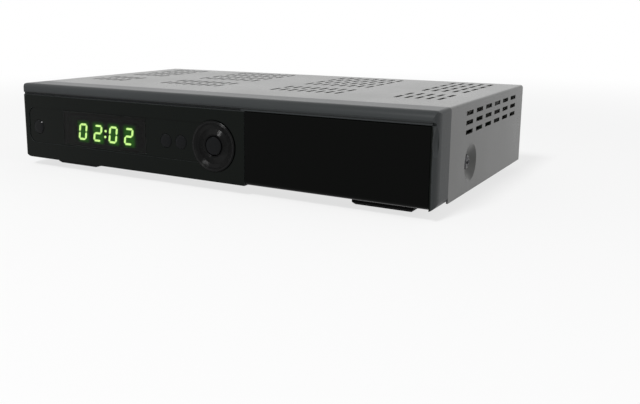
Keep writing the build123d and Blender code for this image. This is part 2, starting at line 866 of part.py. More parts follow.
disc_front = front_face - disc_proud
disc_back = wall_inside - 0.4
disc_flange = wall_inside + 0.7  # room behind the wall for the disc's tilt
with BuildPart() as nav_disc:
    turned(
        [
            (disc_hole_radius, disc_back),
            (disc_radius - 1.4, disc_back),
            (disc_radius - 1.4, disc_flange + key_flange),
            (disc_radius + 1.3, disc_flange + key_flange),
            (disc_radius + 1.3, disc_flange),
            (disc_radius, disc_flange),
            (disc_radius, disc_front + 0.5),
            (disc_radius - 0.5, disc_front),
            (disc_radius - 1.2, disc_front),
            (disc_radius - 2.2, disc_front + 0.55),
            ((disc_radius + disc_hole_radius) / 2, disc_front + 0.9),
            (disc_hole_radius + 0.7, disc_front + 0.7),
            (disc_hole_radius, disc_front + 1.0),
        ],
        disc_x,
        low + key_z,
    )
    for x, z in disc_places:
        rod(x, z, key_stem_radius, disc_back - 0.2, stem_tip)

with BuildPart() as ok_button:
    key_cap(disc_x, front_face - ok_proud, ok_radius, disc_back + 0.6)

# ------------------------------------------------------------------ flap
with BuildPart() as door:
    door_start = door_left + door_play
    door_end = door_right - door_play
    with BuildSketch(from_right(door_start)):
        with Locations((front_face + door_thickness / 2, (hinge_z + ceiling - door_play) / 2)):
            Rectangle(door_thickness, ceiling - door_play - hinge_z)
        with Locations((hinge_y, hinge_z)):
            Circle(knuckle_radius)
    extrude(amount=door_end - door_start)
    fillet(door.edges().filter_by(Axis.X).group_by(Axis.Z)[-1], 0.4)
    # A pull lip along the top of the back, and the two hinge pins
    block(
        (door_start + 4, door_end - 4),
        (front_face + door_thickness, front_face + door_thickness + 1.2),
        (ceiling - door_play - 1.6, ceiling - door_play - 0.6),
    )
    with Locations(Location(((door_start + door_end) / 2, hinge_y, hinge_z), (0, 90, 0))):
        Cylinder(hinge_pin_radius, door_end - door_start + 2 * hinge_pin_length)

# ------------------------------------------------------------------ boards
front_board_x = (-half + 6, door_left - partition - 0.8)
with BuildPart() as front_board:
    block(
        front_board_x,
        (board_front, board_front + board),
        (low + front_board_low, high - bezel_wall - front_board_play),
    )
    with BuildSketch(from_front(board_front - 1)):
        with Locations(*boss_places):
            Circle(screw_radius + 0.1)
    extrude(amount=-(board + 2), mode=Mode.SUBTRACT)

tact_places = [(standby_x, low + key_z), (menu_x, low + key_z), (exit_x, low + key_z)]
tact_places += [(disc_x, low + key_z)] + disc_places
with BuildPart() as tact_switches:
    for x, z in tact_places:
        block(
            (x - tact_size / 2, x + tact_size / 2),
            (board_front, board_front - tact_body),
            (z - tact_size / 2, z + tact_size / 2),
        )
        rod(x, z, plunger_radius, board_front - tact_body, board_front - tact_body - plunger_length)

with BuildPart() as ir_receiver:
    block((ir_x - 2.6, ir_x + 2.6), (board_front, board_front - 4.2), (low + 13.0, low + 20.0))
    with Locations((ir_x, board_front - 4.2, low + 17.2)):
        Sphere(1.9)

with BuildPart() as main_board:
    block(main_x, main_y, (board_low, board_top))
    with Locations(*[(x, y, board_top) for x, y in main_standoffs]):
        Hole(screw_radius + 0.2)

with BuildPart() as power_board:
    block(power_board_x, power_board_y, (board_low, board_top))
    with Locations(*[(x, y, board_top) for x, y in power_standoffs]):
        Hole(screw_radius + 0.2)

up = (Align.CENTER, Align.CENTER, Align.MIN)
with BuildPart() as standoffs:
    for x, y in standoff_places:
        with Locations((x, y, floor_top)):
            Cylinder(standoff_radius, standoff_height, align=up)
        with Locations((x, y, low)):
            Cylinder(shank_radius - 0.05, sheet, align=up)
        with Locations((x, y, board_low)):
            Hole(screw_radius, depth=standoff_height - 0.6)

with BuildPart() as board_screws:
    for x, y in standoff_places:
        turned_up(
            [
                (0, board_low - 3.2),
                (screw_radius - 0.05, board_low - 3.2),
                (screw_radius - 0.05, board_top),
                (screw_head_radius, board_top),
                (screw_head_radius, board_top + screw_head * 0.55),
                (screw_head_radius * 0.6, board_top + screw_head),
                (0, board_top + screw_head),
            ],
            x,
            y,
        )
    for x, z in boss_places:
        pan_screw(x, board_front + board, z, 1, 5.0)

# ------------------------------------------------------------------ rear connectors
can_low = low + phono_z + jack_block + can_over_jacks
can_high = high - 3.0
can_x = (f_x[1] - can_end, f_x[0] + can_end)
with BuildPart() as tuner_can:
    block(can_x, (rear_inner - can_depth, rear_inner - gap), (can_low, can_high))
    block(
        (can_x[0] + can_wall, can_x[1] - can_wall),
        (rear_inner - can_depth + can_wall, rear_inner - gap - can_wall),
        (can_low - 1, can_high - can_wall),
        mode=Mode.SUBTRACT,
    )
    for side_x in (can_x[0], can_x[1] - can_wall):
        for leg_y in (rear_inner - can_depth + 1, rear_inner - 20):
            block((side_x, side_x + can_wall), (leg_y, leg_y + 5), (board_top, can_low))
    with BuildSketch(from_front(rear_inner)):
        with Locations(*[(x, low + f_z) for x in f_x]):
            Circle(f_radius - 0.3)
    extrude(amount=4, mode=Mode.SUBTRACT)

with BuildPart() as f_connectors:
    for x in f_x:
        turned(
            [
                (f_bore_radius, rear_inner - 3.0),
                (f_radius - 0.35, rear_inner - 3.0),
                (f_radius - 0.35, rear_inner - gap),
                (f_radius + 0.5, rear_inner - gap),
                (f_radius + 0.5, rear_face + 0.7),
                (f_radius, rear_face + 0.7),
                (f_radius, rear_face + f_length),
                (f_bore_radius, rear_face + f_length),
            ],
            x,
            low + f_z,
        )

with BuildPart() as f_insulators:
    for x in f_x:
        turned(
            [
                (0.6, rear_inner - 2.0),
                (f_bore_radius, rear_inner - 2.0),
                (f_bore_radius, rear_face + f_length - 0.8),
                (0.6, rear_face + f_length - 0.8),
            ],
            x,
            low + f_z,
        )

serial_corners = [
    (serial_x - serial_outline[0] / 2, low + serial_z + serial_outline[1] / 2),
    (serial_x + serial_outline[0] / 2, low + serial_z + serial_outline[1] / 2),
    (serial_x + serial_outline[0] / 2 - 1.7, low + serial_z - serial_outline[1] / 2),
    (serial_x - serial_outline[0] / 2 + 1.7, low + serial_z - serial_outline[1] / 2),
]
serial_pins = [
    (serial_x + (i - (count - 1) / 2) * serial_pin_pitch, low + serial_z + side * serial_row_pitch / 2)
    for side, count in ((1, 5), (-1, 4))
    for i in range(count)
]


def serial_face(inset):
    """The D-shaped outline, drawn that far inside the shell's outer face."""
    with BuildSketch(mode=Mode.PRIVATE) as outline:
        Polygon(*serial_corners, align=None)
        fillet(outline.vertices(), 1.9)
        offset(amount=-inset, mode=Mode.REPLACE)
    return outline.sketch


with BuildPart() as serial_shell:
    with BuildSketch(from_front(rear_inner)):
        add(serial_face(0.01))
    extrude(amount=-(sheet + serial_proud))
    with BuildSketch(from_front(rear_inner)):
        with Locations((serial_x, low + serial_z)):
            Rectangle(*serial_flange)
        with Locations(*serial_holes):
            Circle(screw_radius, mode=Mode.SUBTRACT)
    extrude(amount=1.0)
    with BuildSketch(from_front(rear_face + serial_proud)):
        add(serial_face(0.45))
    extrude(amount=serial_proud + 2 * sheet + 1, mode=Mode.SUBTRACT)

with BuildPart() as serial_insulator:
    with BuildSketch(from_front(rear_face + serial_proud - 0.3)):
        add(serial_face(0.5))
        with Locations(*serial_pins):
            RegularPolygon(0.7, 8, mode=Mode.SUBTRACT)
    extrude(amount=4.0)
    with BuildSketch(from_front(rear_face + serial_proud - 4.3)):
        add(serial_face(0.5))
    extrude(amount=serial_proud + sheet + 1.0 - 4.3)
    block(
        (serial_x - 8, serial_x + 8),
        (rear_inner - 1.0, rear_inner - serial_depth),
        (low + serial_z - 4.2, low + serial_z + 4.2),
    )
    block(
        (serial_x - 8, serial_x + 8),
        (rear_inner - serial_depth, rear_inner - serial_depth + 3),
        (board_top, low + serial_z),
    )

scart_face = rear_face + scart_proud
scart_outline = [
    (scart_left, low + scart_low),
    (scart_right - 4.4, low + scart_low),
    (scart_right, low + scart_low + 13.2),
    (scart_right, low + scart_high - 2),
    (scart_right - 1.9, low + scart_high),
    (scart_left, low + scart_high),
]
scart_slots = [
    (scart_left + scart_first + (i + 0.5 * row) * scart_pitch, low + z)
    for row, z in enumerate(scart_rows)
    for i in range(10)
]
with BuildPart() as scart_socket:
    with BuildSketch(from_front(scart_face)):
        Polygon(*scart_outline, align=None)
    extrude(amount=scart_proud + 2 * sheet)
    block(
        (scart_left + 1, scart_right - 5),
        (rear_inner, rear_inner - 13),
        (board_top + gap, low + scart_high - 1),
    )
    # The groove for the plug's shroud, and the slots for its contacts
    with BuildSketch(from_front(scart_face)) as groove:
        Polygon(*scart_outline, align=None)
        offset(amount=-1.3, kind=Kind.INTERSECTION, mode=Mode.REPLACE)
        offset(groove.sketch, amount=-1.4, kind=Kind.INTERSECTION, mode=Mode.SUBTRACT)
    extrude(amount=2.2, mode=Mode.SUBTRACT)
    with BuildSketch(from_front(scart_face)):
        with Locations(*scart_slots):
            Rectangle(1.3, 4.0)
    extrude(amount=2.2, mode=Mode.SUBTRACT)

with BuildPart() as scart_contacts:
    with BuildSketch(from_front(scart_face - 0.6)):
        with Locations(*scart_slots):
            Rectangle(0.5, 3.2)
    extrude(amount=1.6)

jacks = [(x, low + phono_z) for x in phono_x] + [(coax_x, low + coax_z)]
with BuildPart() as jack_bodies:
    block(
        (phono_x[1] - jack_block, phono_x[0] + jack_block),
        (rear_inner - gap, rear_inner - 11),
        (board_top, low + phono_z + jack_block),
    )
    # The digital audio jack stands over the video socket
    block(
        (coax_x - 5.5, coax_x + 5.5),
        (rear_inner - gap, rear_inner - 16),
        (low + coax_z - 7, low + coax_z + 6),
    )
    block(
        (coax_x - 5.5, coax_x + 5.5),
        (rear_inner - 12, rear_inner - 16),
        (board_top, low + coax_z - 7),
    )
    block(
        (jack_screw_x - 3.5, coax_x - 5.5),
        (rear_inner - gap, rear_inner - 6),
        (low + coax_z - 4, low + coax_z + 4),
    )
    rod(jack_screw_x, low + coax_z, screw_radius, rear_inner, rear_inner - 5, mode=Mode.SUBTRACT)

with BuildPart() as jack_shells:
    for x, z in jacks:
        turned(
            [
                (phono_bore, rear_inner - gap),
                (phono_radius + phono_shoulder, rear_inner - gap),
                (phono_radius + phono_shoulder, rear_face + phono_shoulder),
                (phono_radius, rear_face + phono_shoulder),
                (phono_radius, rear_face + phono_length - 0.4),
                (phono_radius - 0.4, rear_face + phono_length),
                (phono_bore, rear_face + phono_length),
            ],
            x,
            z,
        )
    turned(
        [
            (phono_radius, rear_face),
            (coax_flange_radius, rear_face),
            (coax_flange_radius, rear_face + 0.8),
            (phono_radius, rear_face + 1.2),
        ],
        coax_x,
        low + coax_z,
    )


def jack_insulator(x, z):
    """The coloured lining of a phono jack, with the hole for the plug's pin."""
    turned(
        [
            (phono_pin_radius, rear_inner - gap + 1.0),
            (phono_bore, rear_inner - gap + 1.0),
            (phono_bore, rear_face + phono_length - 0.5),
            (phono_pin_radius, rear_face + phono_length - 0.9),
        ],
        x,
        z,
    )
    rod(x, z, phono_bore, rear_inner - gap, rear_inner - gap + 1.0)


with BuildPart() as jack_insulator_red:
    jack_insulator(*jacks[0])

with BuildPart() as jack_insulator_white:
    jack_insulator(*jacks[1])

with BuildPart() as jack_insulator_yellow:
    jack_insulator(*jacks[2])

with BuildPart() as jack_screw:
    pan_screw(jack_screw_x, rear_face, low + coax_z, 1, 4.5, head_radius=2.9)

hdmi_outline = [
    (hdmi_x + x * hdmi_size[0] / 2, low + hdmi_z + z * hdmi_size[1] / 2)
    for x, z in ((0.75, -1), (1, -0.3), (1, 1), (-1, 1), (-1, -0.3), (-0.75, -1))
]
with BuildPart() as hdmi_shell:
    with BuildSketch(from_front(rear_face + 0.5)) as hdmi_ring:
        Polygon(*hdmi_outline, align=None)
        offset(hdmi_ring.sketch, amount=-0.45, kind=Kind.INTERSECTION, mode=Mode.SUBTRACT)
    extrude(amount=hdmi_depth + 0.5)
    block(
        (hdmi_x - 7, hdmi_x + 7),
        (rear_face - hdmi_depth, rear_face - hdmi_depth + 1),
        (low + hdmi_z - 2.6, low + hdmi_z + 2.6),
    )
    for side in (-1, 1):
        block(
            (hdmi_x + side * 6.0, hdmi_x + side * 5.2),
            (rear_face - 8, rear_face - 5),
            (board_top, low + hdmi_z - 2.6),
        )

with BuildPart() as hdmi_tongue:
    block(
        (hdmi_x - 5.8, hdmi_x + 5.8),
        (rear_face - hdmi_depth + 1, rear_face - 0.8),
        (low + hdmi_z + 0.1, low + hdmi_z + 1.2),
    )

# ------------------------------------------------------------------ mains switch
rocker_y = rear_face - 1.0
with BuildPart() as switch_frame:
    with BuildSketch(from_front(rear_face + frame_proud)) as flange:
        with Locations((power_x, low + power_z)):
            Rectangle(power_width, power_height)
        fillet(flange.vertices(), 1.0)
    extrude(amount=frame_proud)
    chamfer(switch_frame.faces().sort_by(Axis.Y)[-1].edges(), 0.7)
    block(
        (power_x - power_body[0] / 2, power_x + power_body[0] / 2),
        (rear_face, rear_face - 14),
        (low + power_z - power_body[1] / 2, low + power_z + power_body[1] / 2),
    )
    block(
        (power_x - rocker_room, power_x + rocker_room),
        (rear_face + 3, rear_face - 10),
        (low + power_z - rocker_height / 2 - play, low + power_z + rocker_height / 2 + play),
        mode=Mode.SUBTRACT,
    )
    with Locations((power_x, rocker_y, low + power_z)):
        Cylinder(
            axle_radius + hinge_clearance,
            rocker_height + 2 * (play + axle_bearing),
            mode=Mode.SUBTRACT,
        )
    for side in (-1, 0, 1):
        block(
            (power_x + side * 6 - 0.4, power_x + side * 6 + 0.4),
            (rear_face - 14, rear_face - 20),
            (low + power_z - 2.4, low + power_z + 2.4),
        )

rest_tilt = radians(rocker_tilt)
with BuildPart() as power_rocker:
    tilted = Plane(
        origin=(power_x, rocker_y, low + power_z),
        x_dir=(cos(rest_tilt), sin(rest_tilt), 0),
        z_dir=(0, 0, 1),
    )
    with BuildSketch(tilted):
        with BuildLine():
            Polyline(
                (-rocker_half, 2.6),
                (0, 1.5),
                (rocker_half, 2.6),
                (rocker_half, 0.4),
                (3.2, -3.2),
                (-3.2, -3.2),
                (-rocker_half, 0.4),
                close=True,
            )
        make_face()
    extrude(amount=rocker_height / 2, both=True)
    with Locations((power_x, rocker_y, low + power_z)):
        Cylinder(axle_radius, rocker_height + 2 * (play + axle_bearing - 0.2))

# ------------------------------------------------------------------ boards' parts
port_back = bay_back + bezel_wall + gap
with BuildPart() as card_reader:
    block(
        (card_x - card_width / 2 - 2, card_x + card_width / 2 + 2),
        (port_back, port_back + card_depth),
        (board_top + gap, low + port_z + card_slot / 2 + 1.4),
    )
    block(
        (card_x - card_width / 2 - 0.4, card_x + card_width / 2 + 0.4),
        (port_back - 1, port_back + card_depth - 4),
        (low + port_z - card_slot / 2, low + port_z + card_slot / 2),
        mode=Mode.SUBTRACT,
    )

with BuildPart() as usb_shell:
    block(
        (usb_x - usb_width / 2, usb_x + usb_width / 2),
        (port_back - bezel_wall, port_back + usb_depth),
        (low + port_z - usb_height / 2, low + port_z + usb_height / 2),
    )
    block(
        (usb_x - usb_width / 2 + 0.4, usb_x + usb_width / 2 - 0.4),
        (port_back - bezel_wall - 1, port_back + usb_depth - 4),
        (low + port_z - usb_height / 2 + 0.4, low + port_z + usb_height / 2 - 0.4),
        mode=Mode.SUBTRACT,
    )

with BuildPart() as usb_tongue:
    block(
        (usb_x - usb_width / 2 + 1, usb_x + usb_width / 2 - 1),
        (port_back - bezel_wall + 1.2, port_back + usb_depth - 4),
        (low + port_z + 0.4, low + port_z + 2.2),
    )

processor_y = joint + processor_back
with BuildPart() as chips:
    chip_list = [(processor_x, processor_y, (processor_size, processor_size, processor_height))]
    chip_list += [(processor_x - memory_shift, processor_y + back, memory_size) for back in memory_back]
    chip_list += [(processor_x + decoder_shift, processor_y - 4, decoder_size)]
    chip_list += [(hdmi_x + 4.4, rear_inner - hdmi_depth - 13.4, driver_size)]
    for x, y, size in chip_list:
        with Locations((x, y, board_top)):
            Box(*size, align=up)

with BuildPart() as heat_sink:
    sink_low = board_top + processor_height
    with BuildSketch(from_front(processor_y + sink_size / 2)):
        with Locations((processor_x, sink_low + sink_base / 2)):
            Rectangle(sink_size, sink_base)
        with Locations((processor_x, sink_low + sink_base + fin_height / 2 - 0.1)):
            with GridLocations(fin_pitch, 1, 7, 1):
                Rectangle(fin_thickness, fin_height)
    extrude(amount=sink_size)

ribbon_x = main_x[0] + ribbon_inset
ribbon_end = joint + ribbon_back
header_top = board_top + header_height
harness_x = (power_board_x[1] - header_depth, main_x[0] + header_depth + 1)
harness_y = joint + harness_back
with BuildPart() as board_headers:
    block(
        (ribbon_x - header_width / 2, ribbon_x + header_width / 2),
        (board_front + board, board_front + board + 4),
        (low + front_header_z - header_depth / 2, low + front_header_z + header_depth / 2),
    )
    block(
        (ribbon_x - header_width / 2, ribbon_x + header_width / 2),
        (ribbon_end - header_depth / 2, ribbon_end + header_depth / 2),
        (board_top, header_top),
    )
    for x in harness_x:
        block(
            (x - header_depth / 2, x + header_depth / 2),
            (harness_y - header_width / 2 - 1, harness_y + header_width / 2 + 1),
            (board_top, header_top),
        )

with BuildPart() as ribbon_cable:
    with BuildSketch(from_right(ribbon_x - ribbon_width / 2)):
        with BuildLine():
            FilletPolyline(
                (board_front + board + 4, low + front_header_z),
                (ribbon_end, low + front_header_z),
                (ribbon_end, header_top),
                radius=cable_bend,
            )
        trace(line_width=ribbon_thickness)
    extrude(amount=ribbon_width)

with BuildPart() as power_harness:
    with BuildSketch(from_front(harness_y + harness_width / 2)):
        with BuildLine():
            FilletPolyline(
                (harness_x[0], header_top),
                (harness_x[0], header_top + harness_rise),
                (harness_x[1], header_top + harness_rise),
                (harness_x[1], header_top),
                radius=cable_bend,
            )
        trace(line_width=harness_thickness)
    extrude(amount=harness_width)

core_x = core_inset - half
core_y = joint + core_back
core_low = board_top + core_lift
core_high = core_low + core_height
with BuildPart() as transformer_core:
    core_half = core_width / 2
    window_half = core_half - core_leg
    post_room = (core_low + core_leg - 1, core_high - core_leg + 1)
    block(
        (core_x - core_half, core_x + core_half),
        (core_y - core_depth / 2, core_y + core_depth / 2),
        (core_low, core_high),
    )
    for side in (-1, 1):
        block(
            (core_x + side * (window_half - 0.5), core_x + side * (window_half + 1)),
            (core_y - pin_row / 2, core_y + pin_row / 2),
            (board_top, core_low),
        )
    block(
        (core_x - window_half, core_x + window_half),
        (core_y - core_depth, core_y + core_depth),
        post_room,
        mode=Mode.SUBTRACT,
    )
    block(
        (core_x - core_post, core_x + core_post),
        (core_y - core_depth / 2, core_y + core_depth / 2),
        (post_room[0] - 0.1, post_room[1] + 0.1),
    )

with BuildPart() as transformer_winding:
    with BuildSketch(Plane.XY.offset(post_room[0] + gap)):
        with Locations((core_x, core_y)):
            RectangleRounded(2 * (window_half - play), winding_depth, 3)
            Rectangle(2 * (core_post + gap), core_depth + 2 * gap, mode=Mode.SUBTRACT)
    extrude(amount=post_room[1] - post_room[0] - 2 * gap)

with BuildPart() as mains_capacitor:
    with Locations((main_capacitor_inset - half, joint + main_capacitor_back, board_top)):
        Cylinder(main_capacitor_radius, main_capacitor_height, align=up)
    fillet(mains_capacitor.edges().sort_by(Axis.Z)[-1], 1.0)

capacitor_x = core_x + core_width / 2 + capacitor_gap + large_capacitor[0]
with BuildPart() as output_capacitors:
    for size, backs in (
        (large_capacitor, large_capacitor_backs),
        (small_capacitor, small_capacitor_backs),
    ):
        for back in backs:
            with Locations((capacitor_x, joint + back, board_top)):
                Cylinder(*size, align=up)
    step_x, step_y = small_capacitor_step
    with Locations((capacitor_x + step_x, joint + small_capacitor_backs[1] + step_y, board_top)):
        Cylinder(*small_capacitor, align=up)

with BuildPart() as power_heat_sink:
    sink_x = power_sink_inset - half
    sink_y = joint + power_sink_back
    fin_y = sink_y + (power_sink_fin - power_sink_wall) / 2 + 0.5
    with BuildSketch(Plane.XY.offset(board_top)):
        with Locations((sink_x, sink_y)):
            Rectangle(power_sink_width, power_sink_wall)
        for side in (-1, 0, 1):
            with Locations((sink_x + side * (power_sink_width - power_sink_wall) / 2, fin_y)):
                Rectangle(power_sink_wall, power_sink_fin)
    extrude(amount=power_sink_height)

# ------------------------------------------------------------------ screws on the cover
side_head_radius = 3.6
with BuildPart() as cover_side_screws:
    for side in (-1, 1):
        seat = side * (half - dimple_depth)
        turned_across(
            [
                (seat - side * 6, 0),
                (seat - side * 6, screw_radius - 0.05),
                (seat, screw_radius - 0.05),
                (seat, side_head_radius),
                (seat + side * 0.8, side_head_radius),
                (seat + side * screw_head, side_head_radius * 0.55),
                (seat + side * screw_head, 0),
            ],
            joint + dimple_y,
            low + dimple_z,
        )

with BuildPart() as cover_rear_screws:
    for x, z in ear_holes:
        pan_screw(x, rear_end, z, 1, 6.0, head_radius=2.7)

# ------------------------------------------------------------------ mains lead
exit_y = rear_face + relief_length
cord_z = low + relief_z
with BuildPart() as strain_relief:
    # The block in the wall, and the ribbed boot
    with BuildSketch(from_front(rear_face + 3.2)):
        with Locations((relief_x, cord_z)):
            RectangleRounded(*relief_block, 1.5)
    extrude(amount=3.2)
    with BuildSketch(from_front(rear_face)):
        with Locations((relief_x, cord_z)):
            Rectangle(*relief_neck)
    extrude(amount=7)
    rib_start = rear_face + 4.6
    boot = [(0, rear_face + 3), (boot_root_radius, rear_face + 3), (boot_root_radius, rib_start)]
    for rib in range(boot_ribs):
        y = rib_start + rib * rib_pitch
        radius = boot_root_radius - (boot_root_radius - boot_tip_radius) * rib / boot_ribs
        boot += [(radius - 1.1, y), (radius - 1.1, y + 1.0), (radius, y + 1.0), (radius, y + rib_pitch)]
    boot += [(boot_tip_radius, exit_y), (0, exit_y)]
    turned(boot, relief_x, cord_z)

# The lead leaves the boot straight, drops in an S and runs into the coil
cord_radius = cord_diameter / 2
coil_low = tie_thickness
coil_x = relief_x + coil_shift
coil_y = exit_y + coil_reach
cord_route = [
    (relief_x, exit_y, cord_z),
    (relief_x, exit_y + 9.2, cord_z),
    (relief_x - 0.3, exit_y + 19.4, cord_z - 4.1),
    (relief_x - 0.9, exit_y + 27.3, cord_z - 11.8),
    (relief_x - 1.6, exit_y + 31.8, cord_z - 21.8),
    (relief_x - 2.3, exit_y + 39.7, cord_z - 29.5),
    (relief_x - 2.9, exit_y + 49.9, cord_radius),
    (relief_x - 3.2, exit_y + 61.0, cord_radius),
    (relief_x - 2.6, exit_y + 71.0, cord_radius),
]
# It leaves the coil's upper layer at the far side and goes down to the plug
end_y = coil_y + 38.0
end_route = [
    (coil_x + 4, end_y + 0.4, 8.4),
    (coil_x + 16, end_y, 8.4),
    (coil_x + 28, end_y - 0.4, 7.6),
    (coil_x + 40, end_y, plug_height / 2),
    (coil_x + 51, end_y, plug_height / 2),
]


def cord_tube(route):
    """A tube along straight runs and tangent arcs, each arc as large as its runs allow."""
    points = [Vector(*point) for point in route]
    radii = []
    for before, corner, after in zip(points, points[1:], points[2:]):
        run = corner - before
        next_run = after - corner
        half_turn = radians(run.get_angle(next_run)) / 2
        radii.append(0.45 * min(run.length, next_run.length) / tan(half_turn))
    print("cord radii", [round(radius, 1) for radius in radii])
    with BuildLine(mode=Mode.PRIVATE) as path:
        FilletPolyline(*points, radius=radii)
    start = Plane(origin=points[0], z_dir=points[1] - points[0])
    with BuildSketch(start, mode=Mode.PRIVATE) as section:
        Circle(cord_radius)
    sweep(section.sketch, path=path.wires()[0])
    print("cord length", round(path.wires()[0].length, 1))


with BuildPart() as mains_cord:
    cord_tube(cord_route)

with BuildPart() as mains_coil:
    with Locations((coil_x, coil_y, coil_low)):
        Cylinder(coil_outer, coil_height, align=up)
        Cylinder(coil_inner, coil_height, align=up, mode=Mode.SUBTRACT)

with BuildPart() as cord_end:
    cord_tube(end_route)

with BuildPart() as cord_tie:
    tie_x = (coil_x + coil_inner - play, coil_x + coil_outer + gap)
    tie_y = (coil_y - tie_width / 2, coil_y + tie_width / 2)
    block(
        (tie_x[0] - tie_thickness, tie_x[1] + tie_thickness),
        tie_y,
        (0, coil_low + coil_height + tie_thickness),
    )
    block(tie_x, (tie_y[0] - 1, tie_y[1] + 1), (coil_low, coil_low + coil_height), mode=Mode.SUBTRACT)

plug_x = end_route[-1][0]
with BuildPart() as plug_body:
    block((plug_x, plug_x + 12), (end_y - 6, end_y + 6), (0, plug_height))
    block((plug_x + 12, plug_x + plug_length), (end_y - 17.7, end_y + 17.7), (0, plug_height))
    fillet(plug_body.edges().filter_by(Axis.Z), 3.0)
    chamfer(plug_body.faces().sort_by(Axis.Z)[-1].edges(), 1.0)

with BuildPart() as plug_pins:
    pin_x = plug_x + plug_length + plug_pin_length / 2
    for side in (-1, 1):
        pin_y = end_y + side * plug_pin_spacing / 2
        with Locations(Location((pin_x, pin_y, plug_height / 2), (0, 90, 0))):
            Cylinder(plug_pin_radius, plug_pin_length)

# ------------------------------------------------------------------ files
pieces = {
    "top_cover": top_cover,
    "chassis": chassis,
    "feet": feet,
    "front_bezel": front_bezel,
    "display_window": display_window,
    "display_module": display_module,
    "display_digits": display_digits,
    "front_board": front_board,
    "tact_switches": tact_switches,
    "ir_receiver": ir_receiver,
    "standby_button": standby_button,
    "menu_button": menu_button,
    "exit_button": exit_button,
    "nav_disc": nav_disc,
    "ok_button": ok_button,
    "door": door,
    "main_board": main_board,
    "power_board": power_board,
    "standoffs": standoffs,
    "board_screws": board_screws,
    "cover_side_screws": cover_side_screws,
    "cover_rear_screws": cover_rear_screws,
    "jack_screw": jack_screw,
    "tuner_can": tuner_can,
    "f_connectors": f_connectors,
    "f_insulators": f_insulators,
    "serial_shell": serial_shell,
    "serial_insulator": serial_insulator,
    "scart_socket": scart_socket,
    "scart_contacts": scart_contacts,
    "jack_bodies": jack_bodies,
    "jack_shells": jack_shells,
    "jack_insulator_red": jack_insulator_red,
    "jack_insulator_white": jack_insulator_white,
    "jack_insulator_yellow": jack_insulator_yellow,
    "hdmi_shell": hdmi_shell,
    "hdmi_tongue": hdmi_tongue,
    "card_reader": card_reader,
    "usb_shell": usb_shell,
    "usb_tongue": usb_tongue,
    "heat_sink": heat_sink,
    "chips": chips,
    "board_headers": board_headers,
    "ribbon_cable": ribbon_cable,
    "power_harness": power_harness,
    "transformer_core": transformer_core,
    "transformer_winding": transformer_winding,
    "mains_capacitor": mains_capacitor,
    "output_capacitors": output_capacitors,
    "power_heat_sink": power_heat_sink,
    "switch_frame": switch_frame,
    "power_rocker": power_rocker,
    "strain_relief": strain_relief,
    "mains_cord": mains_cord,
    "mains_coil": mains_coil,
    "cord_end": cord_end,
    "cord_tie": cord_tie,
    "plug_body": plug_body,
    "plug_pins": plug_pins,
}
os.makedirs("parts", exist_ok=True)
for name, piece in pieces.items():
    piece.part.label = name
    export_step(piece.part, f"parts/{name}.step")
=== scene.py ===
"""The looks of a satellite television receiver: its finishes, its lead and its fine fittings."""

import json
import math

import bmesh
import bpy
import numpy as np
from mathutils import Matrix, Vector


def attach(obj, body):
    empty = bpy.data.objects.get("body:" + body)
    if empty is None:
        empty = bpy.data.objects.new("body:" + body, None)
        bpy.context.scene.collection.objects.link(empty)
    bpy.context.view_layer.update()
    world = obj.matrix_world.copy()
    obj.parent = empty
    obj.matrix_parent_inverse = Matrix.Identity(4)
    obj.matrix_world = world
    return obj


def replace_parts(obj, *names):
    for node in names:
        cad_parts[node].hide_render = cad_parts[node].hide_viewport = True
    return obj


MM = 0.001

# ------------------------------------------------------------------ places and sizes, in metres
# They repeat the part's own.
REAR_WALL_Y = 64.8 * MM  # the rear wall's outer face
REAR_RIM_Y = 65.6 * MM  # the cover's folded rim
BROW_GROOVE_Z = 41.4 * MM  # the lower edge of the groove under the brow
DISC_PLACE = (11.9 * MM, 23.0 * MM)  # x and z of the navigation disc's middle

DISPLAY_PLACE = (-62.08 * MM, 22.45 * MM)  # x and z of the colon's middle
DIGIT_PITCH = 11.2 * MM
DIGIT_HALF_WIDTH = 2.4 * MM
DIGIT_HALF_HEIGHT = 4.2 * MM
GLOW_REACH = 3.6 * MM  # how far a digit's light spreads on the display's face

RIBBON_PITCH = 1.27 * MM

REAR_SCREWS = ((0.0, 42.9 * MM), (119.3 * MM, 16.0 * MM), (-119.3 * MM, 16.0 * MM))  # x and z
SIDE_SCREW = (122.5 * MM, -26.6 * MM, 18.6 * MM)
JACK_SCREW = (0.0, 32.8 * MM)  # x and z
SCREW_HEAD_HEIGHT = 1.4 * MM
SCREW_SHANK_RADIUS = 1.35 * MM

AERIAL_X = (84.6 * MM, 100.0 * MM)
AERIAL_Z = 38.2 * MM
THREAD_PITCH = 0.794 * MM
THREAD_DEPTH = 0.38 * MM
THREAD_START = 65.5 * MM
THREAD_END = 75.1 * MM
BARREL_RADIUS = 4.76 * MM
BARREL_BORE = 2.6 * MM
BARREL_BACK = 61.0 * MM

ROCKER_PLACE = (-92.7 * MM, 63.8 * MM, 21.5 * MM)
ROCKER_HALF = 7.2 * MM
ROCKER_TILT = math.radians(10)
ROCKER_HOLLOW = 1.5 * MM  # how far out the face's middle stands
ROCKER_RISE = 1.1 * MM  # from there to its ends
MARK_THICKNESS = 0.05 * MM

SWITCH_WORDS = (("OFF", -86.5 * MM), ("ON", -99.5 * MM))  # each word and the x of its middle
WORD_FOOT = 9.6 * MM
WORD_SIZE = 3.4 * MM
WORD_THICKNESS = 0.02 * MM

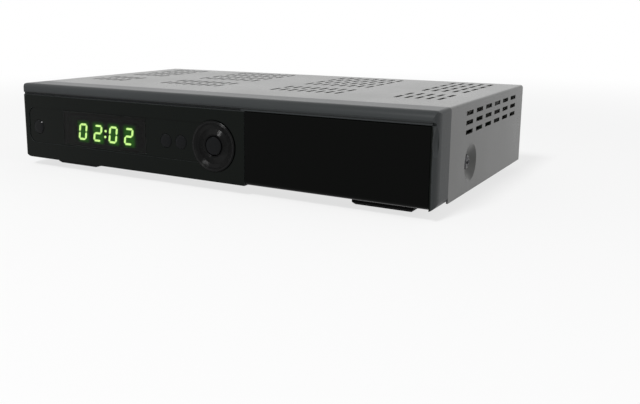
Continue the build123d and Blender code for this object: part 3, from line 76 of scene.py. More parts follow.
CORD_EXIT = (-104.8 * MM, 85.8 * MM, 36.0 * MM)
CORD_DIAMETER = 5.0 * MM
COIL_X = -70.5 * MM
COIL_Y = 158.0 * MM
COIL_OUTER = 37.5 * MM  # to the middle of the outermost turn
COIL_INNER = 20.0 * MM
COIL_PITCH = 5.0 * MM
COIL_FLOOR = 3.3 * MM  # middle of the lower layer
COIL_LAYER = 5.1 * MM
COIL_LOWER_TURNS = (COIL_OUTER - COIL_INNER) / COIL_PITCH
COIL_TURNS = 7.25
COIL_POINTS_PER_TURN = 16
# From the boot to the floor, in millimetres from the cord's exit
LEAD_DROP = (
    (0.0, 0.0, 0.0),
    (0.0, 9.2, 0.0),
    (-0.3, 19.4, -4.1),
    (-0.9, 27.3, -11.8),
    (-1.6, 31.8, -21.8),
    (-2.3, 39.7, -29.5),
    (-2.9, 49.9, -33.5),
    (-3.2, 61.0, -33.5),
)
# From the coil to the plug, in millimetres from the coil's middle on the floor
LEAD_AWAY = ((16.0, 38.4, 8.4), (28.0, 37.6, 7.6), (40.0, 38.0, 6.9))

TIE_PLACE = (-43.5 * MM, COIL_Y, 5.9 * MM)
TIE_HALF_WIDTH = 9.95 * MM  # inside, across the coil's turns
TIE_HALF_HEIGHT = 5.1 * MM  # inside
TIE_THICKNESS = 0.8 * MM
TIE_HALF_BREADTH = 2.5 * MM

PLUG_START = (-19.5 * MM, 196.0 * MM, 6.9 * MM)
PLUG_LENGTH = 36.0 * MM
PLUG_HALF_WIDTH = 17.6 * MM
PLUG_HALF_HEIGHT = 6.9 * MM
PLUG_NECK_RADIUS = 4.6 * MM
PLUG_NECK_GROWTH = 1.6 * MM
PLUG_RIBS = 6
PLUG_RIB_DEPTH = 0.45 * MM
PLUG_RIBBED_SHARE = 0.27  # of the plug's length
PIN_LENGTH = 19.0 * MM
PIN_SPACING = 18.6 * MM
PIN_RADIUS = 2.0 * MM
PIN_NOSE = 1.4 * MM  # the length of its rounded end
SLEEVE_LENGTH = 10.0 * MM
SLEEVE_RADIUS = 1.9 * MM

# ------------------------------------------------------------------ camera, floor and light
CAMERA_PLACE = (228.17 * MM, -370.4 * MM, 86.33 * MM)
CAMERA_YAW = -0.554
CAMERA_PITCH = 0.190
CAMERA_SENSOR = 36.0
CAMERA_LENS = 42.53
CAMERA_SHIFT = (0.0766, -0.0656)

FLOOR_REACH = 6.0
FLOOR_GREY = (0.82, 0.82, 0.82, 1)
FLOOR_WHITENS = (0.20, 0.80)  # distances from the middle between which the floor turns plain white
FLOOR_WHITE_SHARE = 0.72  # of plain white by the object
WHITE = (1, 1, 1, 1)
WORLD_LIGHT = 0.35

# Name, place, target, size and power of each lamp
LAMPS = (
    ("key_lamp", (-0.03, -1.02, 1.12), (0, 0, 0), (0.3, 0.3), 16),
    ("back_lamp", (-0.7, 1.5, 0.8), (0, 0, 0.02), (1.8, 1.0), 2.6),
    ("side_lamp", (1.3, -0.1, 0.7), (0, 0, 0.02), (0.8, 0.8), 3.0),
)

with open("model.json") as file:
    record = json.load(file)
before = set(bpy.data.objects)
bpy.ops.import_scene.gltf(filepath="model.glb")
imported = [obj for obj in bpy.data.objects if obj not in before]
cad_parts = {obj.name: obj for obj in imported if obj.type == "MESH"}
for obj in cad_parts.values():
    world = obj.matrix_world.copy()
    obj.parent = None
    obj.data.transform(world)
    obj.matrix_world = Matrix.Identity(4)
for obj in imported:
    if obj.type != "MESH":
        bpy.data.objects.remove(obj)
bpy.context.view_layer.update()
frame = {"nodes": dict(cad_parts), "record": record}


# ------------------------------------------------------------------ shader helpers
class Shader:
    """A material's or a group's node tree, with short calls to add and join nodes."""

    def __init__(self, tree):
        self.tree = tree

    def add(self, kind, **settings):
        node = self.tree.nodes.new(kind)
        for key, value in settings.items():
            setattr(node, key, value)
        return node

    def feed(self, socket, value):
        """Joins an output socket to this one, or sets a plain value on it."""
        if isinstance(value, bpy.types.NodeSocket):
            self.tree.links.new(value, socket)
        else:
            socket.default_value = value

    def put(self, node, **values):
        """Feeds a node's inputs by their names, with _ for a blank."""
        for key, value in values.items():
            self.feed(node.inputs[key.replace("_", " ")], value)
        return node

    def math(self, operation, *values):
        node = self.add("ShaderNodeMath", operation=operation)
        for socket, value in zip(node.inputs, values):
            self.feed(socket, value)
        return node.outputs[0]

    def distance(self, first, second):
        """The root of the two squares' sum."""
        squares = [self.math("MULTIPLY", value, value) for value in (first, second)]
        return self.math("SQRT", self.math("ADD", *squares))

    def remap(self, value, low, high, to_low, to_high, smooth=False):
        node = self.add("ShaderNodeMapRange")
        if smooth:
            node.interpolation_type = "SMOOTHSTEP"
        for index, number in enumerate((value, low, high, to_low, to_high)):
            self.feed(node.inputs[index], number)
        return node.outputs[0]

    def vary(self, noise, low, high):
        """A noise's middle range spread between two values."""
        return self.remap(noise, 0.3, 0.7, low, high)

    def mix(self, factor, first, second):
        node = self.add("ShaderNodeMix", data_type="RGBA")
        for index, value in ((0, factor), (6, first), (7, second)):
            self.feed(node.inputs[index], value)
        return node.outputs[2]

    def scaled(self, colour, factor):
        node = self.add("ShaderNodeVectorMath", operation="SCALE")
        self.feed(node.inputs[0], colour)
        self.feed(node.inputs["Scale"], factor)
        return node.outputs[0]

    def object_point(self, stretch=(1, 1, 1)):
        coords = self.add("ShaderNodeTexCoord").outputs["Object"]
        mapping = self.add("ShaderNodeMapping")
        mapping.inputs["Scale"].default_value = stretch
        self.tree.links.new(coords, mapping.inputs["Vector"])
        return mapping.outputs[0]

    def axes(self, vector):
        """The x, y and z of a vector."""
        apart = self.add("ShaderNodeSeparateXYZ")
        self.tree.links.new(vector, apart.inputs[0])
        return apart.outputs

    def object_axes(self):
        return self.axes(self.object_point())

    def normal_axes(self):
        return self.axes(self.add("ShaderNodeTexCoord").outputs["Normal"])

    def noise(self, scale, detail=3.0, stretch=(1, 1, 1)):
        node = self.add("ShaderNodeTexNoise")
        self.put(node, Vector=self.object_point(stretch), Scale=scale, Detail=detail)
        return node.outputs["Fac"]

    def use(self, tree, **values):
        """Places a group with its own values."""
        node = self.add("ShaderNodeGroup")
        node.node_tree = tree
        return self.put(node, **values)

    def bump(self, height, strength, distance):
        node = self.add("ShaderNodeBump")
        return self.put(node, Height=height, Strength=strength, Distance=distance).outputs[0]


FLOAT = "NodeSocketFloat"
COLOUR = "NodeSocketColor"


def group(name, inputs, outputs):
    """An empty shader group with those sockets: (name, kind, default) for each input."""
    tree = bpy.data.node_groups.new(name, "ShaderNodeTree")
    for label, kind, default in inputs:
        socket = tree.interface.new_socket(label, in_out="INPUT", socket_type=kind)
        socket.default_value = default
    for label, kind in outputs:
        tree.interface.new_socket(label, in_out="OUTPUT", socket_type=kind)
    shader = Shader(tree)
    return shader, shader.add("NodeGroupInput").outputs, shader.add("NodeGroupOutput").inputs


def build_grain_group():
    """Fine even grain, with slow changes of colour and gloss over it."""
    shader, given, out = group(
        "grain",
        [
            ("Colour", COLOUR, (0.5, 0.5, 0.5, 1)),
            ("Grain Scale", FLOAT, 2000.0),
            ("Colour Change", FLOAT, 0.1),
            ("Roughness", FLOAT, 0.5),
            ("Roughness Change", FLOAT, 0.1),
        ],
        [("Colour", COLOUR), ("Roughness", FLOAT), ("Height", FLOAT)],
    )
    fine = shader.noise(given["Grain Scale"], 2.0)
    spread = shader.math("SUBTRACT", shader.noise(24.0), 0.5)
    factor = shader.math("ADD", 1.0, shader.math("MULTIPLY", spread, given["Colour Change"]))
    speck = shader.math("SUBTRACT", fine, 0.5)
    change = shader.math("MULTIPLY", shader.math("ADD", spread, speck), given["Roughness Change"])
    shader.feed(out["Colour"], shader.scaled(given["Colour"], factor))
    shader.feed(out["Roughness"], shader.math("ADD", given["Roughness"], change))
    shader.feed(out["Height"], fine)
    return shader.tree


def build_brushed_group():
    """Fine lines along X, as drawn or ground metal has, with a faint stain."""
    shader, given, out = group(
        "brushed",
        [("Colour", COLOUR, (0.6, 0.6, 0.6, 1)), ("Roughness", FLOAT, 0.3), ("Stain", FLOAT, 0.1)],
        [("Colour", COLOUR), ("Roughness", FLOAT), ("Height", FLOAT)],
    )
    lines = shader.noise(260.0, 4.0, (1, 14, 14))
    stain = shader.math("SUBTRACT", shader.noise(70.0), 0.5)
    factor = shader.math("ADD", 1.0, shader.math("MULTIPLY", stain, given["Stain"]))
    rough = shader.math("MULTIPLY", shader.math("SUBTRACT", lines, 0.5), 0.25)
    shader.feed(out["Colour"], shader.scaled(given["Colour"], factor))
    shader.feed(out["Roughness"], shader.math("ADD", given["Roughness"], rough))
    shader.feed(out["Height"], lines)
    return shader.tree


def build_rings_group():
    """Fine turned grooves round an axis along Y: a sine of the distance from it."""
    shader, given, out = group(
        "rings",
        [("Middle X", FLOAT, 0.0), ("Middle Z", FLOAT, 0.0), ("Pitch", FLOAT, 0.0003)],
        [("Height", FLOAT), ("Tone", FLOAT)],
    )
    x, _, z = shader.object_axes()
    across = shader.math("SUBTRACT", x, given["Middle X"])
    up = shader.math("SUBTRACT", z, given["Middle Z"])
    turns = shader.math("DIVIDE", shader.distance(across, up), given["Pitch"])
    place = shader.put(shader.add("ShaderNodeCombineXYZ"), X=turns)
    tone = shader.add("ShaderNodeTexNoise")
    shader.put(tone, Vector=place.outputs[0], Scale=0.35, Detail=2.0)
    shader.feed(out["Height"], shader.math("SINE", shader.math("MULTIPLY", turns, 2 * math.pi)))
    shader.feed(out["Tone"], tone.outputs["Fac"])
    return shader.tree


GRAIN = build_grain_group()
BRUSHED = build_brushed_group()
RINGS = build_rings_group()


# ------------------------------------------------------------------ finishes
def new_material(name):
    material = bpy.data.materials.new(name)
    material.use_nodes = True
    material.node_tree.nodes.clear()
    shader = Shader(material.node_tree)
    surface = shader.add("ShaderNodeBsdfPrincipled")
    output = shader.add("ShaderNodeOutputMaterial")
    shader.tree.links.new(surface.outputs[0], output.inputs["Surface"])
    return material, shader, surface


def grained(
    name,
    colour,
    roughness,
    grain=2000.0,
    height=0.02,
    colour_change=0.15,
    rough_change=0.12,
    specular=0.5,
):
    """Moulded plastic or paint: the grain group, and a low bump from its height."""
    material, shader, surface = new_material(name)
    node = shader.use(GRAIN, Colour=(*colour, 1), Grain_Scale=grain, Colour_Change=colour_change)
    shader.put(node, Roughness=roughness, Roughness_Change=rough_change)
    shader.put(surface, Base_Color=node.outputs["Colour"], Roughness=node.outputs["Roughness"])
    shader.put(surface, Normal=shader.bump(node.outputs["Height"], height, 0.0004))
    shader.put(surface, Specular_IOR_Level=specular)
    return material


def brushed(name, colour, roughness, stain=0.15):
    """Bare or plated metal: the brushed group, and a low bump from its lines."""
    material, shader, surface = new_material(name)
    node = shader.use(BRUSHED, Colour=(*colour, 1), Roughness=roughness, Stain=stain)
    shader.put(surface, Base_Color=node.outputs["Colour"], Roughness=node.outputs["Roughness"])
    shader.put(surface, Metallic=1.0, Normal=shader.bump(node.outputs["Height"], 0.04, 0.0002))
    return material


def zinc_sheet():
    """The chassis' bare zinc-coated sheet: faint crystals, warm in places and bluish in others."""
    material, shader, surface = new_material("chassis_steel")
    crystals = shader.add("ShaderNodeTexVoronoi")
    shader.put(crystals, Vector=shader.object_point(), Scale=170.0)
    lines = shader.noise(420.0, 3.0, (12, 12, 1))
    cast = shader.remap(shader.noise(9.0, 2.0), 0.35, 0.65, 0.0, 1.0, smooth=True)
    sheet = shader.mix(cast, (0.265, 0.285, 0.30, 1), (0.31, 0.295, 0.28, 1))
    facet = shader.put(shader.add("ShaderNodeSeparateColor"), Color=crystals.outputs["Color"])
    tone = shader.remap(facet.outputs[0], 0.0, 1.0, 0.94, 1.06)
    rough = shader.remap(lines, 0.25, 0.75, 0.36, 0.52)
    shader.put(surface, Base_Color=shader.scaled(sheet, tone), Roughness=rough, Metallic=1.0)
    shader.put(surface, Normal=shader.bump(lines, 0.05, 0.0002))
    return material


def two_finish_and_painted_light_moulding():
    """The front moulding: gloss black on its face below the brow, satin dark grey elsewhere, picked
    by which way each face points. The grey is partly the moulding's own satin and partly painted
    light: it makes the top, the brow and the sides lighter than the front, standing in for the
    light and reflection they catch.
    """
    material, shader, surface = new_material("bezel_plastic")
    _, facing, _ = shader.normal_axes()
    _, _, z = shader.object_axes()
    forward = shader.remap(facing, -0.92, -0.75, 1.0, 0.0)
    below_brow = shader.remap(z, BROW_GROOVE_Z - 0.2 * MM, BROW_GROOVE_Z, 1.0, 0.0)
    gloss = shader.math("MULTIPLY", forward, below_brow)
    # Satin grey on the top, brow and sides, gloss black on the front face: the lighter grey is
    # partly the moulding's own finish and partly painted light.
    colour = shader.mix(gloss, (0.036, 0.039, 0.040, 1), (0.0024, 0.0036, 0.0027, 1))
    node = shader.use(GRAIN, Colour=colour, Grain_Scale=900.0, Colour_Change=0.15)
    shader.put(node, Roughness=shader.remap(gloss, 0.0, 1.0, 0.34, 0.20), Roughness_Change=0.08)
    shader.put(surface, Base_Color=node.outputs["Colour"], Roughness=node.outputs["Roughness"])
    shader.put(surface, Normal=shader.bump(node.outputs["Height"], 0.02, 0.0004))
    shader.put(surface, Specular_IOR_Level=0.08)
    return material


def spun_disc():
    """Dark plastic with turned grooves round the navigation disc's axis."""
    material, shader, surface = new_material("disc_plastic")
    rings = shader.use(RINGS, Middle_X=DISC_PLACE[0], Middle_Z=DISC_PLACE[1], Pitch=0.5 * MM)
    tone = shader.remap(rings.outputs["Tone"], 0.3, 0.7, 0.7, 1.4)
    shader.put(surface, Base_Color=shader.scaled((0.0006, 0.0007, 0.0007), tone))
    shader.put(surface, Roughness=shader.vary(shader.noise(40.0), 0.12, 0.17))
    shader.put(surface, Normal=shader.bump(rings.outputs["Height"], 0.65, 0.0001))
    shader.put(surface, Specular_IOR_Level=0.12)
    return material


def board_laminate():
    """Green solder mask over copper tracks that run square across the board."""
    material, shader, surface = new_material("board_laminate")
    tracks = shader.add("ShaderNodeTexBrick")
    shader.put(tracks, Vector=shader.object_point(), Scale=120.0)
    shader.put(tracks, Color1=(0.012, 0.12, 0.045, 1), Color2=(0.016, 0.15, 0.055, 1))
    shader.put(tracks, Mortar=(0.05, 0.3, 0.12, 1), Mortar_Size=0.03, Mortar_Smooth=0.2)
    shader.put(surface, Base_Color=tracks.outputs["Color"], Roughness=0.35)
    shader.put(surface, Normal=shader.bump(shader.noise(900.0), 0.05, 0.0002))
    return material


def smoked_window():
    """The display's tinted window: dark, clear and glossy."""
    material, shader, surface = new_material("window_tint")
    shader.put(surface, Base_Color=(0.13, 0.155, 0.125, 1), IOR=1.2, Specular_IOR_Level=0.1)
    shader.put(surface, Roughness=shader.vary(shader.noise(300.0), 0.02, 0.05))
    shader.put(surface, Transmission_Weight=1.0, Metallic=0.0)
    return material


def lit_module():
    """The display's black face, where the digits' light falls off with the distance from them."""
    material, shader, surface = new_material("module_plastic")
    x, _, z = shader.object_axes()
    across = shader.math("SUBTRACT", x, DISPLAY_PLACE[0] + DIGIT_PITCH / 2)
    nearest = shader.math("WRAP", across, DIGIT_PITCH / 2, -DIGIT_PITCH / 2)
    beside = shader.math("SUBTRACT", shader.math("ABSOLUTE", nearest), DIGIT_HALF_WIDTH)
    from_middle = shader.math("ABSOLUTE", shader.math("SUBTRACT", x, DISPLAY_PLACE[0]))
    past_last = shader.math("SUBTRACT", from_middle, 1.5 * DIGIT_PITCH + DIGIT_HALF_WIDTH)
    side = shader.math("MAXIMUM", shader.math("MAXIMUM", beside, past_last), 0.0)
    rise = shader.math("ABSOLUTE", shader.math("SUBTRACT", z, DISPLAY_PLACE[1]))
    over = shader.math("MAXIMUM", shader.math("SUBTRACT", rise, DIGIT_HALF_HEIGHT), 0.0)
    light = shader.remap(shader.distance(side, over), 0.0, GLOW_REACH, 1.0, 0.0, smooth=True)
    glow = shader.scaled((0.10, 0.62, 0.02), shader.math("POWER", light, 2.2))
    shader.put(surface, Base_Color=shader.vary(shader.noise(1500.0), 0.001, 0.003), Roughness=0.7)
    shader.put(surface, Specular_IOR_Level=0.05, Emission_Color=glow, Emission_Strength=0.75)
    return material


def lit_segment():
    """A glowing segment: yellow-green, a little hotter in places."""
    material, shader, surface = new_material("digit_glow")
    glow = shader.mix(shader.noise(900.0), (0.66, 0.92, 0.30, 1), (0.78, 0.95, 0.40, 1))
    shader.put(surface, Base_Color=glow, Roughness=0.5, Emission_Color=glow, Emission_Strength=6.6)
    return material


def striped_ribbon():
    """A flat cable: grey cores side by side, a sine of x."""
    material, shader, surface = new_material("ribbon_plastic")
    x, _, _ = shader.object_axes()
    cores = shader.math("SINE", shader.math("MULTIPLY", x, 2 * math.pi / RIBBON_PITCH))
    tone = shader.remap(cores, -1.0, 1.0, 0.30, 0.55)
    colour = shader.mix(tone, (0.2, 0.2, 0.2, 1), (0.7, 0.7, 0.68, 1))
    shader.put(surface, Base_Color=colour, Roughness=0.45, Normal=shader.bump(cores, 0.4, 0.0002))
    return material


def capacitor_can():
    """A dark printed sleeve round an aluminium can, whose bare end faces up."""
    material, shader, surface = new_material("capacitor_sleeve")
    _, _, facing = shader.normal_axes()
    bare = shader.remap(facing, 0.85, 0.95, 0.0, 1.0)
    sleeve = shader.scaled((0.015, 0.03, 0.08), shader.vary(shader.noise(60.0), 0.8, 1.2))
    colour = shader.mix(bare, sleeve, (0.7, 0.7, 0.7, 1))
    shader.put(surface, Base_Color=colour, Roughness=0.35, Metallic=bare)
    return material


def pin_plate():
    """Nickel-plated pins with a black sleeve over the half by the plug."""
    material, shader, surface = new_material("pin_metal")
    x, _, _ = shader.object_axes()
    edge = PLUG_START[0] + PLUG_LENGTH + SLEEVE_LENGTH
    bare = shader.remap(x, edge, edge + 0.1 * MM, 0.0, 1.0)
    colour = shader.mix(bare, (0.015, 0.015, 0.015, 1), (0.72, 0.70, 0.64, 1))
    scratches = shader.vary(shader.noise(500.0, 3.0, (0.2, 1, 1)), 0.18, 0.34)
    shader.put(surface, Base_Color=colour, Metallic=bare, Roughness=scratches)
    return material


def woven_strap():
    """The tie round the coil: short loops across a black band."""
    material, shader, surface = new_material("tie_strap")
    loops = shader.noise(1400.0, 2.0, (0.6, 1.6, 1))
    shader.put(surface, Base_Color=shader.vary(loops, 0.008, 0.03), Roughness=0.85)
    shader.put(surface, Normal=shader.bump(loops, 0.5, 0.0004))
    return material


# Colour and roughness, then where they differ from the usual the grain's scale, the
# bump's strength, the changes of colour and of roughness, and the specular level
PAINT_AND_PLASTIC = {
    "cover_paint": ((0.0350, 0.0360, 0.0335), 0.30, 2600.0, 0.08, 0.2),
    "foot_plastic": ((0.002, 0.002, 0.002), 0.6, 1500.0, 0.1, 0.15, 0.12, 0.05),
    "switch_plastic": ((0.03, 0.03, 0.03), 0.5),
    "key_plastic": ((0.0030, 0.0034, 0.0040), 0.14, 1200.0, 0.02, 0.15, 0.12, 0.1),
    "door_plastic": ((0.0010, 0.0012, 0.0010), 0.06, 700.0, 0.006, 0.2, 0.05, 0.05),
    "insulator_cream": ((0.72, 0.58, 0.42), 0.4),
    "insulator_blue": ((0.010, 0.062, 0.15), 0.38),
    "scart_plastic": ((0.010, 0.010, 0.010), 0.42, 1600.0, 0.06),
    "jack_plastic": ((0.02, 0.02, 0.02), 0.5),
    "jack_red": ((0.50, 0.016, 0.022), 0.3),
    "jack_white": ((0.80, 0.80, 0.78), 0.3),
    "jack_yellow": ((0.72, 0.62, 0.06), 0.3),
    "tongue_plastic": ((0.02, 0.02, 0.02), 0.45),
    "chip_plastic": ((0.018, 0.018, 0.019), 0.55, 3000.0, 0.1),
    "header_plastic": ((0.75, 0.72, 0.62), 0.5),
    "harness_plastic": ((0.5, 0.04, 0.03), 0.5),
    "ferrite": ((0.05, 0.05, 0.052), 0.6),
    "winding_tape": ((0.75, 0.52, 0.05), 0.35),
    "socket_plastic": ((0.010, 0.011, 0.011), 0.3, 1300.0, 0.03),
    "rocker_plastic": ((0.016, 0.017, 0.017), 0.25, 1300.0, 0.03),
    "cord_rubber": ((0.016, 0.017, 0.017), 0.42, 1400.0, 0.06),
    "plug_plastic": ((0.014, 0.014, 0.014), 0.42, 1400.0, 0.05),
}
# Colour, roughness and, where it differs from the usual, stain
METAL = {
    "zinc_steel": ((0.62, 0.60, 0.54), 0.34, 0.3),
    "screw_chrome": ((0.34, 0.34, 0.35), 0.22, 0.08),
    "screw_black": ((0.05, 0.05, 0.055), 0.32, 0.2),
    "tin_plate": ((0.66, 0.65, 0.61), 0.30, 0.25),
    "nickel": ((0.50, 0.46, 0.39), 0.24, 0.12),
    "contact_metal": ((0.34, 0.29, 0.18), 0.3),
    "fin_aluminium": ((0.70, 0.70, 0.71), 0.4, 0.2),
}
OWN_FINISH = {
    "chassis_steel": zinc_sheet,
    "bezel_plastic": two_finish_and_painted_light_moulding,
    "window_tint": smoked_window,
    "module_plastic": lit_module,
    "digit_glow": lit_segment,
    "board_laminate": board_laminate,
    "disc_plastic": spun_disc,
    "ribbon_plastic": striped_ribbon,
    "capacitor_sleeve": capacitor_can,
    "pin_metal": pin_plate,
}
materials = {slot: grained(slot, *values) for slot, values in PAINT_AND_PLASTIC.items()}
materials |= {slot: brushed(slot, *values) for slot, values in METAL.items()}
materials |= {slot: make() for slot, make in OWN_FINISH.items()}
MARK_WHITE = grained("mark_white", (0.78, 0.80, 0.84), 0.5)
MARK_BLACK = grained("mark_black", (0.015, 0.016, 0.017), 0.5)
TIE_STRAP = woven_strap()
# Chrome with a near-black colour, for the side screws: painted shade, standing in for the dark
# surroundings that the chrome reflects inside its dimple.
PAINTED_SHADE_CHROME = brushed("painted_shade_chrome", (0.045, 0.045, 0.048), 0.12, 0.08)

for entry in frame["record"]["subparts"]:
    mesh = frame["nodes"][entry["node"]].data
    mesh.materials.clear()
    mesh.materials.append(materials[entry["material_slot"]])


# ------------------------------------------------------------------ pieces from arrays
def round_angles(columns):
    return np.linspace(0, 2 * math.pi, columns, endpoint=False)


def oval(angle, power):
    """A unit oval: the cosine and the sine to the power 2 / power, each with its own sign."""
    cosine, sine = np.cos(angle), np.sin(angle)
    across = np.sign(cosine) * np.abs(cosine) ** (2 / power)
    up = np.sign(sine) * np.abs(sine) ** (2 / power)
    return across, up


def ease(value, start, span):
    """0 before the start and 1 after the span, with 3 t squared less 2 t cubed between."""
    share = np.clip((value - start) / span, 0, 1)
    return share**2 * (3 - 2 * share)


def grid_faces(rows, columns):
    """Quads between neighbouring rows of a grid whose last column joins its first."""
    row, column = np.meshgrid(np.arange(rows - 1) * columns, np.arange(columns), indexing="ij")
    beside = (column + 1) % columns
    corners = (row + column, row + beside, row + columns + beside, row + columns + column)
    return np.stack(corners, axis=-1).reshape(-1, 4)


def add_piece(name, skins, slot, material=None, body="housing", crease=35.0):
    """One mesh of several skins, each a rows by columns by 3 array of points.

    Each skin closes on itself. Doubled points at poles and seams are merged, faces are
    turned outwards, and edges sharper than the crease angle stay sharp.
    """
    points, faces, start = [], [], 0
    for skin in skins:
        rows, columns = skin.shape[:2]
        points.append(skin.reshape(-1, 3))
        faces.append(grid_faces(rows, columns) + start)
        start += rows * columns
    mesh = bpy.data.meshes.new(name)
    mesh.from_pydata(np.concatenate(points).tolist(), [], np.concatenate(faces).tolist())
    shape = bmesh.new()
    shape.from_mesh(mesh)
    bmesh.ops.remove_doubles(shape, verts=shape.verts, dist=1e-7)
    bmesh.ops.recalc_face_normals(shape, faces=shape.faces)
    shape.to_mesh(mesh)
    shape.free()
    return place_mesh(name, mesh, slot, material, body, crease)


def place_mesh(name, mesh, slot, material=None, body="housing", crease=35.0):
    mesh.polygons.foreach_set("use_smooth", np.ones(len(mesh.polygons), dtype=bool))
    mesh.set_sharp_from_angle(angle=math.radians(crease))
    mesh.materials.clear()
    mesh.materials.append(material or materials[slot])
    piece = bpy.data.objects.new(name, mesh)
    bpy.context.scene.collection.objects.link(piece)
    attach(piece, body)
    return piece


def turned_skin(stations, place, axis, columns, sink=None):
    """A skin of revolution: place + height * axis + radius * (cos a * across + sin a * up).

    The stations are (radius, height) along the outline, and a goes round in equal steps.
    The sink, a function of the two parts of the radius and the height, lowers the height.
    """
    axis = np.array(axis, dtype=float)
    up = np.array((0.0, 0.0, 1.0))
    across = np.cross(up, axis)
    radius, height = np.array(stations, dtype=float).T
    angle = round_angles(columns)
    over = radius[:, None] * np.cos(angle)
    upward = radius[:, None] * np.sin(angle)
    height = np.repeat(height[:, None], columns, axis=1)
    if sink is not None:
        height = height - sink(over, upward, height)
    sideways = over[..., None] * across + upward[..., None] * up
    return np.array(place) + height[..., None] * axis + sideways


def screw_skin(place, axis, head_radius, length, arm, depth):
    """A pan head with a crossed recess, on its shank.

    The head's outline is a third-power oval from its crown to its rim. The recess
    is two crossed bars: its depth falls off smoothly across a bar's half width, and
    along the bar from its middle to the end of the arm.
    """
    share = np.linspace(0, 1, 22)
    crown = SCREW_HEAD_HEIGHT * (0.12 + 0.88 * np.cbrt(1 - share**3))
    head = np.c_[share * head_radius, crown]
    stem = [(head_radius, 0), (SCREW_SHANK_RADIUS, 0), (SCREW_SHANK_RADIUS, -length), (0, -length)]

    def recess(over, upward, height):
        along = np.maximum(np.abs(over), np.abs(upward)) / arm
        beside = np.minimum(np.abs(over), np.abs(upward)) / (0.24 * arm)
        fall = np.clip(1.5 - beside, 0, 1) * np.clip(1.25 - along, 0, 1)
        return np.where(height > 0.1 * SCREW_HEAD_HEIGHT, depth * np.clip(2.2 * fall, 0, 1), 0)

    return turned_skin(np.concatenate([head, stem]), place, axis, 96, recess)


def add_screws():
    small = {"head_radius": 2.7 * MM, "length": 6.0 * MM, "arm": 1.5 * MM, "depth": 0.9 * MM}
    large = {"head_radius": 3.6 * MM, "length": 6.0 * MM, "arm": 1.9 * MM, "depth": 1.0 * MM}
    short = {"head_radius": 2.9 * MM, "length": 4.5 * MM, "arm": 1.5 * MM, "depth": 0.9 * MM}
    rear = [screw_skin((x, REAR_RIM_Y, z), (0, 1, 0), **small) for x, z in REAR_SCREWS]
    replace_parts(add_piece("rear_screws", rear, "screw_black"), "cover_rear_screws")
    x, y, z = SIDE_SCREW
    sides = [screw_skin((side * x, y, z), (side, 0, 0), **large) for side in (-1, 1)]
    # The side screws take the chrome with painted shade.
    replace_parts(add_piece("side_screws", sides, "screw_chrome", PAINTED_SHADE_CHROME), "cover_side_screws")
    x, z = JACK_SCREW
    jack = screw_skin((x, REAR_WALL_Y, z), (0, 1, 0), **short)
    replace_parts(add_piece("jack_screw_head", [jack], "screw_chrome"), "jack_screw")


def add_aerial_barrels():
    """Threaded barrels, each a closed ring of sections round its own axis.

    On the thread the radius falls by a V of the turns counted along it and round it.
    The collar and the back come before the thread, the lip and the bore after it.
    """
    columns = 60
    angle = round_angles(columns)
    along = np.arange(THREAD_START, THREAD_END, THREAD_PITCH / 6)
    turns = (along[:, None] - THREAD_START) / THREAD_PITCH - angle / (2 * math.pi)
    from_end = np.minimum(along - THREAD_START, THREAD_END - along)
    fade = np.clip(from_end / (0.5 * THREAD_PITCH), 0, 1)[:, None]
    thread = BARREL_RADIUS - THREAD_DEPTH * fade * np.abs(2 * (turns % 1) - 1)
    # Radius and y of the plain sections
    before = [
        (BARREL_BORE, BARREL_BACK),
        (4.41 * MM, BARREL_BACK),
        (4.41 * MM, 63.9 * MM),
        (5.26 * MM, 63.9 * MM),
        (5.26 * MM, 65.3 * MM),
        (5.0 * MM, THREAD_START),
        (BARREL_RADIUS, THREAD_START),
    ]
    after = [
        (BARREL_RADIUS - 0.25 * MM, THREAD_END + 0.2 * MM),
        (BARREL_BORE + 0.2 * MM, THREAD_END + 0.2 * MM),
        (BARREL_BORE, THREAD_END),
        (BARREL_BORE, BARREL_BACK),
    ]

    def spread(values):
        return np.repeat(np.array(values)[:, None], columns, axis=1)

    radii_before, y_before = zip(*before)
    radii_after, y_after = zip(*after)
    radius = np.concatenate([spread(radii_before), thread, spread(radii_after)])
    y = spread([*y_before, *along, *y_after])
    skins = [
        np.stack([x + radius * np.cos(angle), y, AERIAL_Z + radius * np.sin(angle)], axis=-1)
        for x in AERIAL_X
    ]
    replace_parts(add_piece("aerial_barrels", skins, "nickel", crease=50.0), "f_connectors")


def add_rocker_marks():
    """A ring and a bar on the rocker's hollow face, which rises evenly from its middle.

    Each mark is an oval line: its outer edge less the line's width gives its inner edge.
    """
    columns = 48
    angle = round_angles(columns)
    cosine, sine = math.cos(ROCKER_TILT), math.sin(ROCKER_TILT)
    x, y, z = ROCKER_PLACE

    def on_rocker(u, w, lift):
        v = ROCKER_HOLLOW + ROCKER_RISE * np.abs(u) / ROCKER_HALF + lift
        return np.stack([x + u * cosine - v * sine, y + u * sine + v * cosine, z + w], axis=-1)

    # Place across the rocker, half width, half height, line width and power of each mark's oval
    ring = (2.7 * MM, 1.45 * MM, 1.8 * MM, 0.45 * MM, 2.0)
    bar = (-3.9 * MM, 0.3 * MM, 1.7 * MM, 0.3 * MM, 6.0)
    edges = ((0, 0.0), (0, MARK_THICKNESS), (1, MARK_THICKNESS), (1, 0.0), (0, 0.0))
    skins = []
    for middle, width, height, line, power in (ring, bar):
        across, up = oval(angle, power)
        rows = [
            on_rocker(middle + (width - line * inner) * across, (height - line * inner) * up, lift)
            for inner, lift in edges
        ]
        skins.append(np.array(rows))
    add_piece("rocker_marks", skins, "rocker_plastic", MARK_WHITE, "rocker")


